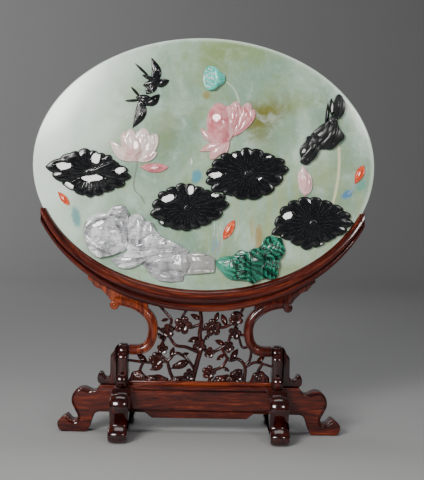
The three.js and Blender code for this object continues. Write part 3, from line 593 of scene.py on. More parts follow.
def greyMarble():
    s = Shader("greyMarble", 0.16, 0.3, 0.05)
    base = s.noise(0.055, 4, 0.6, 0.5)
    colour = s.ramp(base, [(0.32, (0.16, 0.167, 0.187)), (0.43, (0.38, 0.388, 0.41)),
                           (0.54, (0.74, 0.75, 0.77)), (0.66, (0.95, 0.955, 0.965))])
    mottle = s.noise(0.22, 4, 0.65, 0.3)
    colour = s.mix(mottle.step(0.50, 0.70) * 0.55, colour, (0.16, 0.165, 0.185))
    colour = s.mix(mottle.step(0.46, 0.28) * 0.45, colour, (0.80, 0.80, 0.81))
    streak = abs(s.noise(0.045, 5, 0.6, 0.8, s.spread((0.7, 1, 1.9), (15, 0, 60))) - 0.5)
    colour = s.mix(streak.step(0.035, 0.0) * 0.6, colour, (0.11, 0.115, 0.135))
    cream = (s.x + s.noise(0.08, 4, 0.6) * 24).step(-16, 8) * s.z.step(186, 178)
    colour = s.mix(cream * 0.85, colour, (0.42, 0.41, 0.36))
    # painted shade: darker where the relief is low, near the plaque
    colour = s.mix(s.y.step(-8.0, -4.6) * 0.35, colour, (0.09, 0.095, 0.11))
    # painted shade: darker in the joints and hollows of the carving, where shade falls
    colour = s.mix(s.open(3.5).step(0.85, 0.40) * 0.85, colour, (0.035, 0.037, 0.045))
    colour = s.mix(s.x.step(-75, -45) * s.z.step(186, 178) * 0.4, colour, (0.27, 0.27, 0.28))
    speckle = s.noise(0.45, 4, 0.75).step(0.56, 0.68) * s.x.step(-75, -50)
    colour = s.mix(speckle * 0.55, colour, (0.12, 0.12, 0.135))
    return s.finish(colour, s.noise(0.25, 4, 0.6), 0.12)


def malachiteStone():
    s = Shader("malachite", 0.24, 0.25, 0.12)
    bend = (s.noise(0.035, 4, 0.55) - 0.5) * 30
    rings = (s.x * 0.55 + s.z * 0.8 + bend + s.noise(0.16, 3, 0.5) * 3) * 1.15
    wave = rings.made("SINE", rings) * 0.5 + 0.5
    fine = (rings * 2.7).made("SINE", rings * 2.7) * 0.5 + 0.5
    share = wave * 0.7 + fine * 0.3
    colour = s.ramp(share, [(0.1, (0.001, 0.020, 0.012)), (0.5, (0.001, 0.100, 0.055)),
                            (0.95, (0.03, 0.34, 0.21))])
    wing = (s.x + (s.noise(0.1, 3) - 0.5) * 8).step(36, 18)
    colour = s.mix(wing * 0.55, colour, (0.08, 0.46, 0.31))
    dark = s.spot(54, 168, 11, 16).step(1.1, 0.5)
    colour = s.mix(dark * 0.6, colour, (0.002, 0.050, 0.029))
    # painted shade: darker in the hollows of the carving
    colour = s.mix(s.open(2.5).step(0.9, 0.45) * 0.85, colour, (0.0005, 0.008, 0.005))
    return s.finish(colour, share, 0.04)


def coralStone():
    s = Shader("coral", 0.25, 0.2, 0.1)
    clouds = s.noise(0.3, 3, 0.6, 0.5)
    colour = s.ramp(clouds, [(0.3, (0.62, 0.055, 0.02)), (0.55, (0.84, 0.12, 0.045)),
                             (0.78, (0.90, 0.30, 0.12))])
    return s.finish(colour, s.noise(0.8, 2), 0.05)


# lacquered hardwood, its grain along x, y, z or the cradle's arc; warmth runs from dark to orange
def hardwood(name, grain="x", warmth=0.35, seed=0, coat=0.5):
    s = Shader(name, 0.2, coat, 0.05)
    scales = {"x": (0.10, 1, 1), "z": (1, 1, 0.10), "y": (1, 0.10, 1)}
    if grain == "arc":
        tall = 1.25  # stretches the cradle's ellipse upwards, nearly to a circle
        radius = ((s.x * s.x) + ((s.z - plaque["centre"]) * tall) ** 2.0) ** 0.5
        angle = s.node("ShaderNodeMath", {"operation": "ARCTAN2"},
                       {0: s.x, 1: (plaque["centre"] - s.z) * tall}) * 150.0
        at = s.node("ShaderNodeCombineXYZ", {}, {0: angle * 0.10 + seed, 1: s.y, 2: radius})
    else:
        at = s.spread(scales[grain], (seed, seed * 0.7, seed * 1.3))
    figure = s.noise(0.10, 5, 0.65, 1.4, at)
    fibre = s.noise(0.55, 5, 0.7, 0.4, at)
    pore = s.noise(1.7, 3, 0.6, 0.0, at)
    amount = (figure * 0.62 + fibre * 0.38 + (warmth - 0.35) * 0.42).kept()
    colour = s.ramp(amount, [(0.30, (0.007, 0.0012, 0.0014)), (0.44, (0.026, 0.0030, 0.0022)),
                             (0.56, (0.085, 0.0095, 0.0040)), (0.72, (0.30, 0.052, 0.011))])
    colour = s.mix(pore.step(0.60, 0.74) * 0.5, colour, (0.012, 0.002, 0.002))
    # painted shade: darker in the cuts and hollows of the carving
    colour = s.mix(s.open(2.0).step(0.96, 0.6) * 0.85, colour, (0.004, 0.001, 0.001))
    rough = fibre.step(0.3, 0.8) * 0.12 + 0.16
    s.surface.inputs["Specular IOR Level"].default_value = 0.25
    return s.finish(colour, fibre * 0.7 + pore * 0.3, 0.06, Roughness=rough)


jade = celadonJade()
black = blackStone()
foldedBlack = blackStone("foldedBlack", None, 0.16)
rose = quartz("roseQuartz", (0.80, 0.36, 0.37), (0.62, 0.15, 0.18), (0.96, 0.72, 0.70))
budRose = quartz("budQuartz", (0.92, 0.72, 0.69), (0.86, 0.50, 0.50), (0.97, 0.92, 0.88))
paleRose = quartz("paleQuartz", (0.88, 0.74, 0.67), (0.74, 0.46, 0.45), (0.98, 0.95, 0.90))
turquoise = turquoiseStone()
marble = greyMarble()
malachite = malachiteStone()
coral = coralStone()
railWood = hardwood("railWood", "x", 0.40, 3)
cradleWood = hardwood("cradleWood", "arc", 0.42, 11)
darkWood = hardwood("darkWood", "z", 0.16, 21, 0.8)
footWood = hardwood("footWood", "y", 0.16, 71, 1.0)
scrollWoodLeft = hardwood("scrollWoodLeft", "z", 0.62, 31)
scrollWoodRight = hardwood("scrollWoodRight", "z", 0.30, 41)
panelWood = hardwood("panelWood", "z", 0.20, 51)
stripWood = hardwood("stripWood", "x", 0.66, 61)
print("finishes made")


# the plaque

def jadePlaque():
    p = plaque
    turns = np.linspace(0, 2 * math.pi, 320, endpoint=False)

    def ring(inset, y):
        x = (p["halfWidth"] - inset) * np.cos(turns)
        z = p["centre"] + (p["halfHeight"] - inset) * np.sin(turns)
        return np.column_stack([x, np.full(len(turns), y), z])

    rings = [[[0, -p["halfDepth"], p["centre"]]], ring(p["round"] + 30, -p["halfDepth"])]
    flat = p["halfDepth"] - p["round"]
    for angle in np.linspace(90, -90, 13):
        a = math.radians(angle)
        inset, bulge = p["round"] * (1 - math.cos(a)), p["round"] * math.sin(a)
        rings.append(ring(inset, -(flat + bulge) if angle >= 0 else flat - bulge))
    rings += [ring(p["round"] + 30, p["halfDepth"]), [[0, p["halfDepth"], p["centre"]]]]
    return skin("jadePlaque", rings, jade, 60)


fitted(jadePlaque(), "celadon_jade", "jade_panel")
print("plaque made")


# lotus leaves

leafLook = {
    "perLobe": 22,
    "notch": 0.10,
    "valley": 0.42,
    "vein": 0.05,
    "rings": 36,
    "profileAt": [0.0, 0.05, 0.16, 0.45, 0.76, 0.92, 1.0],
    "profile": [3.9, 3.4, 3.3, 3.6, 4.0, 3.8, 3.4],
    "edge": 0.9,
}
# each leaf: its nub, its lobes as degrees and reach, and its flat polished facets
leaves = {
    "leaf_left": (
        (-113, 258),
        [(7, 37.5), (24, 28), (40, 27), (57, 23), (76, 22), (102, 24.4), (137, 27.5), (174, 44.6),
         (190, 36.2), (211, 28.3), (247, 24.6), (271, 25.3), (294, 25), (318, 27.6), (339, 36.4),
         (355, 41.4)],
        [(-110.5, 252, 13.5, 3.8, 2, 3.4), (-139, 263.8, 9, 4.4, -6, 3.6),
         (-107, 272, 5, 6.5, 0, 3.7), (-83, 260.5, 7, 3.6, 8, 3.4),
         (-133.5, 244, 6, 4, -30, 3.4)],
    ),
    "leaf_middle": (
        (-15.5, 224.5),
        [(6, 42), (20, 39.6), (36, 29.6), (61, 24.5), (82, 24.4), (107, 25.8), (134, 27.4), (152, 32),
         (174, 35.4), (191, 38), (216, 31.2), (239, 25.4), (271, 23.3), (296, 22.7), (321, 26), (346, 34.3)],
        [(-12.5, 242.5, 3.6, 5.6, 0, 3.6), (-35, 233.6, 8, 4.3, 8, 3.6),
         (12, 238, 5.4, 2.7, 8, 3.5), (-41.5, 209, 2.8, 2.8, 0, 3.4)],
    ),
    "leaf_upper": (
        (44, 260),
        [(7, 41), (22, 38.5), (40, 29.8), (67, 26.3), (97, 26), (123, 25.4), (142, 31.5), (163, 37),
         (180, 42), (193, 43.4), (207, 40), (227, 30), (252, 27.4), (287, 27.4), (322, 30.4), (347, 34.5)],
        [(11.5, 257.6, 8.6, 3.4, 4, 3.6), (56, 255, 3.2, 1.6, 20, 3.4),
         (30, 277.6, 3, 2.2, -30, 3.4), (64, 276.6, 4, 1.5, 12, 3.4)],
    ),
    "leaf_right": (
        (109.5, 212.5),
        [(0, 40.4), (13, 38.5), (31, 32), (55, 26.5), (82, 25.4), (113, 27.4), (138, 31), (157, 35),
         (179, 38), (197, 43.2), (209, 34), (229, 29.2), (256, 28.6), (286, 25), (319, 25.4), (343, 34)],
        [(84, 218.6, 6.2, 4.4, 14, 3.7), (85.5, 193.2, 2.7, 2.1, 20, 3.4),
         (119.5, 191.5, 3.6, 1.5, 20, 3.4)],
    ),
}


def lotusLeaf(name, nub, lobes, facets):
    look = leafLook
    outline = []
    for i, (angle, reach) in enumerate(lobes):
        nextAngle, nextReach = lobes[(i + 1) % len(lobes)]
        span = (nextAngle - angle) % 360
        for k in range(look["perLobe"]):
            t = k / look["perLobe"]
            fall = look["notch"] * (1 - abs(math.cos(math.pi * t)) ** 0.62)
            radius = (reach + (nextReach - reach) * t) * (1 - fall)
            turn = math.radians(angle + span * t)
            outline.append((nub[0] + radius * math.cos(turn), nub[1] + radius * math.sin(turn)))

    def height(share, turn, x, z):
        t = (turn * len(lobes) + 0.5) % 1 - 0.5  # 0 along a lobe's middle, a half in a notch
        fold = np.sin(math.pi * t) ** 2
        body = np.interp(share, look["profileAt"], look["profile"])
        body = body + 0.15 * np.sin(turn * 2 * math.pi * 3 + nub[0]) * share  # the rim waves a little
        h = body - look["valley"] * fold**2.0 * smoothStep(0.62, 1.0, share)
        across = np.abs(t) * 12 * share
        h = h + look["vein"] * np.exp(-(across / 0.55) ** 2) * smoothStep(0.05, 0.15,
                share) * smoothStep(0.95, 0.8, share)
        h = polished(h, x, z, facets)
        h = h + 1.1 * smoothStep(0.075, 0.0, share)
        edge = np.clip((1 - share) * 28 / look["edge"], 0, 1)
        return np.maximum(h * (0.45 + 0.55 * np.sqrt(1 - (1 - edge) ** 2)), 0.7)

    shares = 1 - np.linspace(0, 1, look["rings"], endpoint=False) ** 1.15
    return relief(name, outline, nub, shares, height, blackStone(name + "Stone", nub), 50)


leafPieces = {name: lotusLeaf(name + "_carved", *form) for name, form in leaves.items()}


# the space a leaf takes, as a cutter for what lies under it
def leafRoom(name):
    nub, lobes, _ = leaves[name]
    spread = [(nub[0] + r * 1.012 * math.cos(math.radians(a)),
               nub[1] + r * 1.012 * math.sin(math.radians(a)))
              for a, r in lobes]
    return board("room", splineThrough(spread, 6, True), face - 30, face + 1, None)


carve(leafPieces["leaf_middle"], [leafRoom("leaf_upper")], "DIFFERENCE", 50)
for name, piece in leafPieces.items():
    fitted(piece, "black_stone", name)
print("leaves made")


# flowers, buds, pod and swallows, all built from petals

def petalOutline(form, steps):
    base, tip = np.array(form["base"], float), np.array(form["tip"], float)
    along = tip - base
    length = np.hypot(*along)
    side = np.array([-along[1], along[0]]) / length
    skew = math.log(0.5) / math.log(form.get("widest", 0.5))
    points = []
    for way in (-1, 1):
        for k in range(steps):
            share = k / steps if way < 0 else 1 - k / steps
            u = (1 - math.cos(math.pi * share)) / 2
            half = form["width"] / 2 * max(math.sin(math.pi * u**skew), 0) ** form.get("blunt", 0.75)
            points.append(base + u * along + (way * half + form.get("bend",
                    0) * math.sin(math.pi * u)) * side)
    return np.array(points)


def petal(form, material, lip=0.5, groove=0.0, steps=26, rings=14):
    base, tip = np.array(form["base"], float), np.array(form["tip"], float)
    along = (tip - base) / np.hypot(*(tip - base))
    side = np.array([-along[1], along[0]])
    centre = (base + tip) / 2 + form.get("bend", 0) * side
    rim, high = form.get("rim", 1.1), form["high"]
    reach = form["width"] / 2

    def height(share, turn, x, z):
        across = (x - base[0]) * side[0] + (z - base[1]) * side[1]
        h = rim + (high - rim) * (1 - share**2)
        h = h + lip * np.exp(-((share - 0.86) / 0.07) ** 2) - lip * 0.5 * np.exp(
                -((share - 0.68) / 0.12) ** 2)
        h = h - groove * (0.5 - 0.5 * np.cos(across * 2 * math.pi / 1.9)) * (1 - share**3) * smoothStep(0,
                0.3, share)
        h = polished(h, x, z, form.get("facets", ()), 0.04)
        edge = np.clip((1 - share) * reach / 0.8, 0, 1)
        return np.maximum(h * (0.4 + 0.6 * np.sqrt(1 - (1 - edge) ** 2)), 0.35)

    shares = 1 - np.linspace(0, 1, rings, endpoint=False) ** 1.3
    return relief("petal", petalOutline(form, steps), centre, shares, height, material, 45)


def spray(name, forms, material, lip=0.5, groove=0.0, sharp=42):
    parts = [petal(form, material, form.get("lip", lip), form.get("groove", groove)) for form in forms]
    parts[-1].name = name
    return carve(parts[-1], parts[:-1], "UNION", sharp) if len(parts) > 1 else parts[-1]


flowers = {
    "flower_pale": [
        {"base": (-70, 272), "tip": (-81, 299), "width": 12, "widest": 0.6, "high": 3.4, "blunt": 0.6},
        {"base": (-65, 270), "tip": (-94, 290), "width": 12.5, "widest": 0.48, "blunt": 0.8, "high": 4.6,
         "bend": 3.4, "lip": 0.5,
         "facets": [(-87.5, 286, 1.4, 5.2, 52, 4.2)]},
        {"base": (-66, 270), "tip": (-46, 279), "width": 10, "blunt": 0.6, "high": 4.0, "lip": 0.8,
         "facets": [(-51, 277.6, 1.0, 4.4, -52, 4.0)]},
        {"base": (-63, 270), "tip": (-47, 297), "width": 15, "widest": 0.56, "high": 4.4, "lip": 0.6,
         "blunt": 0.55,
         "facets": [(-51, 293, 1.0, 3.6, -4, 4.3), (-56, 282, 0.8, 3.2, 10, 4.3)]},
        {"base": (-64, 271), "tip": (-60, 303), "width": 17, "widest": 0.6, "high": 5, "lip": 0.4,
         "blunt": 0.5, "facets": [(-60, 296, 3.2, 1.2, 8, 4.4)]},
        {"base": (-70, 271), "tip": (-74, 302), "width": 13, "widest": 0.6, "high": 5, "lip": 0.5,
         "blunt": 0.55},
        {"base": (-68, 270), "tip": (-66, 294), "width": 17, "widest": 0.52, "high": 6.6, "blunt": 0.6,
         "facets": [(-67.4, 286, 3.6, 5.2, 10, 6.2)]},
    ],
    "flower_pale_petal": [{"base": (-64, 264.5), "tip": (-35, 264.4), "width": 10, "widest": 0.56,
                           "high": 4.2, "blunt": 0.6, "bend": -1,
                           "facets": [(-57, 267.4, 4.4, 0.8, -4, 3.2), (-49, 263.4, 6, 0.6, 6, 4)]}],
    "flower_pink": [
        {"base": (31, 296), "tip": (49.5, 323), "width": 11, "widest": 0.66, "high": 3.4, "blunt": 0.5,
         "facets": [(46, 318, 0.8, 3.6, -28, 3)]},
        {"base": (29, 296), "tip": (44.5, 329.5), "width": 13, "widest": 0.68, "high": 4.0, "lip": 0.7,
         "blunt": 0.45,
         "facets": [(38, 321, 0.9, 5, -8, 3.8), (43.5, 325, 2.2, 0.8, 20, 3.4)]},
        {"base": (27, 294), "tip": (31, 331.5), "width": 14, "widest": 0.66, "high": 4.6, "lip": 0.7,
         "blunt": 0.5,
         "facets": [(29.6, 327, 1.6, 4.4, 38, 4.2)]},
        {"base": (23, 290), "tip": (24, 327), "width": 19, "widest": 0.56, "high": 5.2, "blunt": 0.55,
         "facets": [(31, 313, 0.7, 5, 4, 4.4)]},
        {"base": (19, 289), "tip": (-4.6, 304), "width": 8, "widest": 0.55, "blunt": 0.8, "high": 4,
         "bend": 2.6, "lip": 0.5,
         "facets": [(0.8, 297.4, 1.0, 6, 40, 3.9)]},
        {"base": (22, 288), "tip": (-4.5, 281), "width": 8.5, "widest": 0.5, "blunt": 0.7, "high": 4.2,
         "bend": -1.5, "lip": 0.9,
         "facets": [(8, 286.5, 5, 0.9, 6, 4)]},
        {"base": (25, 292), "tip": (6, 273.5), "width": 15, "widest": 0.5, "high": 3.4, "blunt": 0.6},
        {"base": (18.5, 287.5), "tip": (12.8, 329.5), "width": 27.5, "widest": 0.5, "high": 7.4, "lip": 0.0,
         "blunt": 0.52,
         "facets": [(11.5, 314.5, 5.4, 5.8, 0, 7.0)]},
    ],
    "flower_bud": [
        {"base": (101, 240), "tip": (95, 263), "width": 8.4, "widest": 0.45, "high": 4, "blunt": 0.6},
        {"base": (104, 240), "tip": (104.2, 262), "width": 9, "widest": 0.45, "high": 4.4, "blunt": 0.6},
        {"base": (102, 238.5), "tip": (98.5, 268.5), "width": 13, "widest": 0.42, "high": 5.6, "blunt": 0.7,
         "facets": [(97.5, 257, 1.2, 3.6, 10, 5.2), (105, 252, 0.8, 3.4, 6, 4.6)]},
    ],
}
coralBuds = {
    "coral_bud_left": [
        {"base": (-133, 225), "tip": (-143.4, 237), "width": 6.6, "high": 2.2, "blunt": 0.6},
        {"base": (-133.5, 225.5), "tip": (-144.5, 238), "width": 4.6, "high": 3.2, "lip": 0.2, "blunt": 0.6,
         "facets": [(-139.5, 232, 0.7, 2.6, 40, 3)]},
    ],
    "coral_bud_middle": [
        {"base": (21, 194), "tip": (31.5, 213), "width": 9, "high": 2.2, "blunt": 0.6},
        {"base": (22, 195.5), "tip": (30, 211.5), "width": 5.4, "high": 3.2, "lip": 0.2, "blunt": 0.6,
         "facets": [(25.4, 204, 0.7, 3.4, -26, 3)]},
    ],
    "coral_bud_right": [
        {"base": (151, 251.5), "tip": (159, 270), "width": 8.6, "widest": 0.58, "high": 2.2, "blunt": 0.6},
        {"base": (151.8, 253), "tip": (158, 268.6), "width": 5, "widest": 0.58, "high": 3.2, "lip": 0.2,
         "blunt": 0.6, "facets": [(154.6, 262, 0.7, 3, -22, 3)]},
    ],
}
swallows = {
    "swallow_upper": [
        {"base": (-62, 345), "tip": (-43, 348.5), "width": 9, "high": 3, "groove": 0.3},
        {"base": (-50, 348), "tip": (-54.2, 373), "width": 10.5, "widest": 0.34, "blunt": 0.9, "high": 3,
         "bend": -3, "groove": 0.45},
        {"base": (-49, 350), "tip": (-58.5, 336.5), "width": 11, "widest": 0.45, "high": 2.6,
         "groove": 0.45},
        {"base": (-49, 350), "tip": (-63, 355.5), "width": 4.4, "high": 2.4},
        {"base": (-55, 353), "tip": (-70.5, 367), "width": 2.8, "high": 2, "rim": 0.8},
        {"base": (-49, 345.5), "tip": (-35.8, 350.8), "width": 8.6, "widest": 0.42, "high": 3.6,
         "lip": 0.1},
    ],
    "swallow_lower": [
        {"base": (-69, 333.5), "tip": (-50, 329.5), "width": 9, "high": 3, "groove": 0.3},
        {"base": (-63, 332), "tip": (-71.6, 302.6), "width": 11.5, "widest": 0.42, "blunt": 0.9, "high": 3,
         "bend": 3.4, "groove": 0.45},
        {"base": (-64, 330.5), "tip": (-80, 329.4), "width": 3, "high": 2, "rim": 0.8},
        {"base": (-64, 333), "tip": (-74, 343.8), "width": 3, "high": 2, "rim": 0.8},
        {"base": (-61, 326), "tip": (-45, 336.6), "width": 9.4, "widest": 0.5, "high": 3.6, "bend": -2,
         "lip": 0.1},
    ],
}
for name, forms in flowers.items():
    piece = spray(name + "_carved", forms, {"flower_pale": paleRose, "flower_bud": budRose}.get(name, rose))
    if name == "flower_pink":
        carve(piece, [leafRoom("leaf_upper")], "DIFFERENCE", 42)
    if name == "flower_bud":
        carve(piece, [leafRoom("leaf_right")], "DIFFERENCE", 42)
    fitted(piece, "pale_quartz" if name == "flower_pale" else "rose_quartz", name)
for name, forms in coralBuds.items():
    fitted(spray(name + "_carved", forms, coral), "coral", name)
for name, forms in swallows.items():
    fitted(spray(name + "_carved", forms, black, 0.15), "black_stone", name)
print("flowers, buds and swallows made")


# the seed pod, with its seeds set out by Geometry Nodes

pod = {
    "rings": [(3.5, 353.3, 11.6, 5.6, 3.6), (4.6, 353.3, 11.9, 5.5, 3.9), (7.5, 353.3, 11.2, 4.6, 4.0),
              (10.5, 353.2, 9.2, 3.3, 3.6),
              (13.5, 353.0, 7.2, 2.0, 3.0), (16.2, 352.8, 5.4, 1.2, 2.2), (18.5, 352.6, 4.2, 0.6, 1.6)],
    "mouthRings": 8, "ribs": 11, "steps": 110, "dish": 0.5,
    "seedSize": 1.25, "seedRows": [(0.0, 1), (0.42, 5), (0.78, 10)],
}


def seedPod():
    turns = np.linspace(0, 2 * math.pi, pod["steps"], endpoint=False)
    across, up = np.cos(turns), np.sin(turns)
    rows = splineThrough(np.array([[x, radius] for x, _, radius, _, _ in pod["rings"]]), 3)
    leans = splineThrough(np.array([[lean, out] for _, _, _, lean, out in pod["rings"]]), 3)
    x0, z0, radius, lean, out = pod["rings"][0]
    normal = np.array([-out, -lean]) / math.hypot(out, lean)
    rings = [[[x0 - normal[0] * pod["dish"], face - out - normal[1] * pod["dish"], z0]]]
    for share in np.linspace(0, 1, pod["mouthRings"] + 1)[1:]:
        sunk = pod["dish"] * (1 - share**6)
        rings.append(np.column_stack([x0 + share * lean * across - normal[0] * sunk,
                                      np.minimum(face - out - share * out * across - normal[1] * sunk,
                                              face - 0.05),
                                      z0 + share * radius * up]))
    for (x, radius), (lean, out) in list(zip(rows, leans))[1:]:
        rib = 1 + 0.035 * np.cos(turns * pod["ribs"]) * smoothStep(3.5, 8, x)
        rings.append(np.column_stack([x + lean * across, np.minimum(face - out * (1 + across * rib), face),
                                      353.2 + radius * rib * up]))
    return skin("seed_pod_carved", rings, turquoise, 40)


# points become small domed seeds with a collar
def seedTree():
    tree = bpy.data.node_groups.new("seeds", "GeometryNodeTree")
    tree.interface.new_socket("Geometry", in_out="INPUT", socket_type="NodeSocketGeometry")
    size = tree.interface.new_socket("Seed size", in_out="INPUT", socket_type="NodeSocketFloat")
    finish = tree.interface.new_socket("Finish", in_out="INPUT", socket_type="NodeSocketMaterial")
    tree.interface.new_socket("Geometry", in_out="OUTPUT", socket_type="NodeSocketGeometry")
    make, link = tree.nodes.new, tree.links.new
    start, end = make("NodeGroupInput"), make("NodeGroupOutput")
    ball, spots, real, paint = (make("GeometryNodeMeshIcoSphere"), make("GeometryNodeInstanceOnPoints"),
                                make("GeometryNodeRealizeInstances"), make("GeometryNodeSetMaterial"))
    ball.inputs["Subdivisions"].default_value = 2
    vary = make("FunctionNodeRandomValue")
    vary.data_type = "FLOAT_VECTOR"
    vary.inputs[0].default_value, vary.inputs[1].default_value = (0.85,) * 3, (1.1,) * 3
    vary.inputs["Seed"].default_value = 4
    link(start.outputs["Geometry"], spots.inputs["Points"])
    link(start.outputs["Seed size"], ball.inputs["Radius"])
    link(ball.outputs["Mesh"], spots.inputs["Instance"])
    link(vary.outputs["Value"], spots.inputs["Scale"])
    link(spots.outputs[0], real.inputs[0])
    link(real.outputs[0], paint.inputs["Geometry"])
    link(start.outputs["Finish"], paint.inputs["Material"])
    link(paint.outputs[0], end.inputs[0])
    return tree, size.identifier, finish.identifier


def podSeeds():
    x0, z0, radius, lean, out = pod["rings"][0]
    normal = np.array([-out, -lean]) / math.hypot(out, lean)
    points = []
    for share, count in pod["seedRows"]:
        for k in range(count):
            turn = 2 * math.pi * k / count + share * 3
            u, v = share * math.cos(turn), share * math.sin(turn)
            points.append([x0 + lean * u - normal[0] * 0.5, face - out - out * u - normal[1] * 0.5,
                           z0 + radius * v])
    piece = newPiece("seed_pod_seeds", points, [], None)
    tree, size, finish = seedTree()
    grow = piece.modifiers.new("seeds", "NODES")
    grow.node_group = tree
    grow[size], grow[finish] = pod["seedSize"] * mm, seedStone()
    applied(piece)
    for side in piece.data.polygons:
        side.use_smooth = True
    return piece


fitted(seedPod(), "turquoise", "seed_pod")
fitted(podSeeds(), "turquoise")
print("pod made")


# carved bodies: the folded leaf, the marble rocks and the malachite

# lumps are x, z, reach, height and a number of flat sides (0 for round)
def lumpy(foothill, lumps, strokes=(), rough=0.0, seed=0, edge=1.0, facets=()):
    def height(share, turn, x, z):
        h = np.full(np.shape(x), float(foothill))
        for i, (lx, lz, reach, high, *sides) in enumerate(lumps):
            dx, dz = x - lx, z - lz
            if sides and sides[0]:
                start = seed + i * 1.7
                away = np.max([dx * math.cos(start + 2 * math.pi * k / sides[0])
                               + dz * math.sin(start + 2 * math.pi * k / sides[0])
                               for k in range(sides[0])], axis=0)
                top = high * (1 - np.maximum(away, 0) / reach)
                top = np.minimum(top, high * 0.93)
            else:
                top = high * (1 - (np.hypot(dx, dz) / reach) ** 1.5)
            h = np.maximum(h, top)
        for line, width, amount in strokes:
            h = h + amount * np.exp(-(strokeDistance(line, x, z) / width) ** 2)
        if rough:
            h = h + rough * ripple(x, z, 13, seed) + rough * 0.5 * ripple(x, z, 5, seed + 1)
        h = polished(h, x, z, facets)
        rim = np.clip((1 - share) * 22 / edge, 0, 1)
        return np.maximum(h * (0.45 + 0.55 * np.sqrt(1 - (1 - rim) ** 2)), 0.6)
    return height


foldedLeaf = {
    "bodies": [
        ((122, 299), [(127.6, 320), (124.4, 317.6), (122, 313), (116, 310), (109, 303.6), (104, 298),
                      (108, 291), (113.4, 284.6), (119, 285.4), (125, 284.4), (130, 286.8), (134, 292),
                      (138.4, 295), (139.6, 299), (137, 302.4),
                      (133.6, 306), (131.8, 312), (131, 319)],
         [(126, 300, 30, 6.2), (113, 292, 20, 5.4), (128, 314, 16, 5)],
         [([(128, 318), (127, 308), (122, 298), (114, 289)], 1.6, -0.42),
          ([(131.5, 312), (131, 303), (128, 292)], 1.5, -0.36),
          ([(124, 314), (118, 304), (110, 298)], 1.4, -0.34)], []),
        ((104, 284), [(101, 297.8), (100.6, 292.6), (97, 289.4), (94.4, 284), (95, 279), (96.6, 275.4),
                      (95, 272.4), (98, 269.6), (103, 268.8), (107, 273), (111, 276.4), (114, 283),
                      (115, 289), (112, 296.6),
                      (106, 299)],
         [(106, 286, 26, 5.6), (101, 275, 14, 4.4)],
         [([(109, 296), (104, 286), (98, 279)], 1.5, -0.38),
          ([(113, 290), (108, 281), (101, 274)], 1.4, -0.34)],
         [(98.6, 283, 2.0, 2.8, -30, 4.6)]),
        ((133, 328), [(131, 340), (134, 340.6), (136.4, 336.6), (139.2, 331), (139, 325), (137, 318.6),
                      (133, 315), (129.4, 317.4),
                      (127.4, 323), (127.4, 330), (129, 336)],
         [(133, 328, 30, 5.2)], [([(133, 340), (134.4, 330), (132.6, 318)], 1.5, -0.4)], []),
    ],
    "fingers": [
        {"base": (126.6, 318), "tip": (125.2, 336.5), "width": 4.6, "high": 3, "lip": 0.1,
         "facets": [(126.2, 326.4, 1.2, 6.0, -2, 2.7)]},
        {"base": (119.6, 308), "tip": (122, 332), "width": 4, "blunt": 0.9, "high": 2.8, "bend": -1,
         "lip": 0.1},
    ],
}


def carvedBody(centre, outline, height, material, spacing=0.8, rings=30, sharp=38, rounds=2):
    shape = evenly(cornerCut(outline, rounds), spacing)
    return relief("body", shape, centre, 1 - np.linspace(0, 1, rings, endpoint=False) ** 1.2, height,
                  material, sharp)


bodies = [carvedBody(centre, outline, lumpy(1.8, lumps, strokes, 0, 5, 1.3, facets), foldedBlack, 0.6)
          for centre, outline, lumps, strokes, facets in foldedLeaf["bodies"]]
fingers = [petal(form, foldedBlack, form["lip"]) for form in foldedLeaf["fingers"]]
bodies[0].name = "leaf_folded_carved"
fitted(carve(bodies[0], bodies[1:] + fingers, "UNION", 45), "black_stone", "leaf_folded")

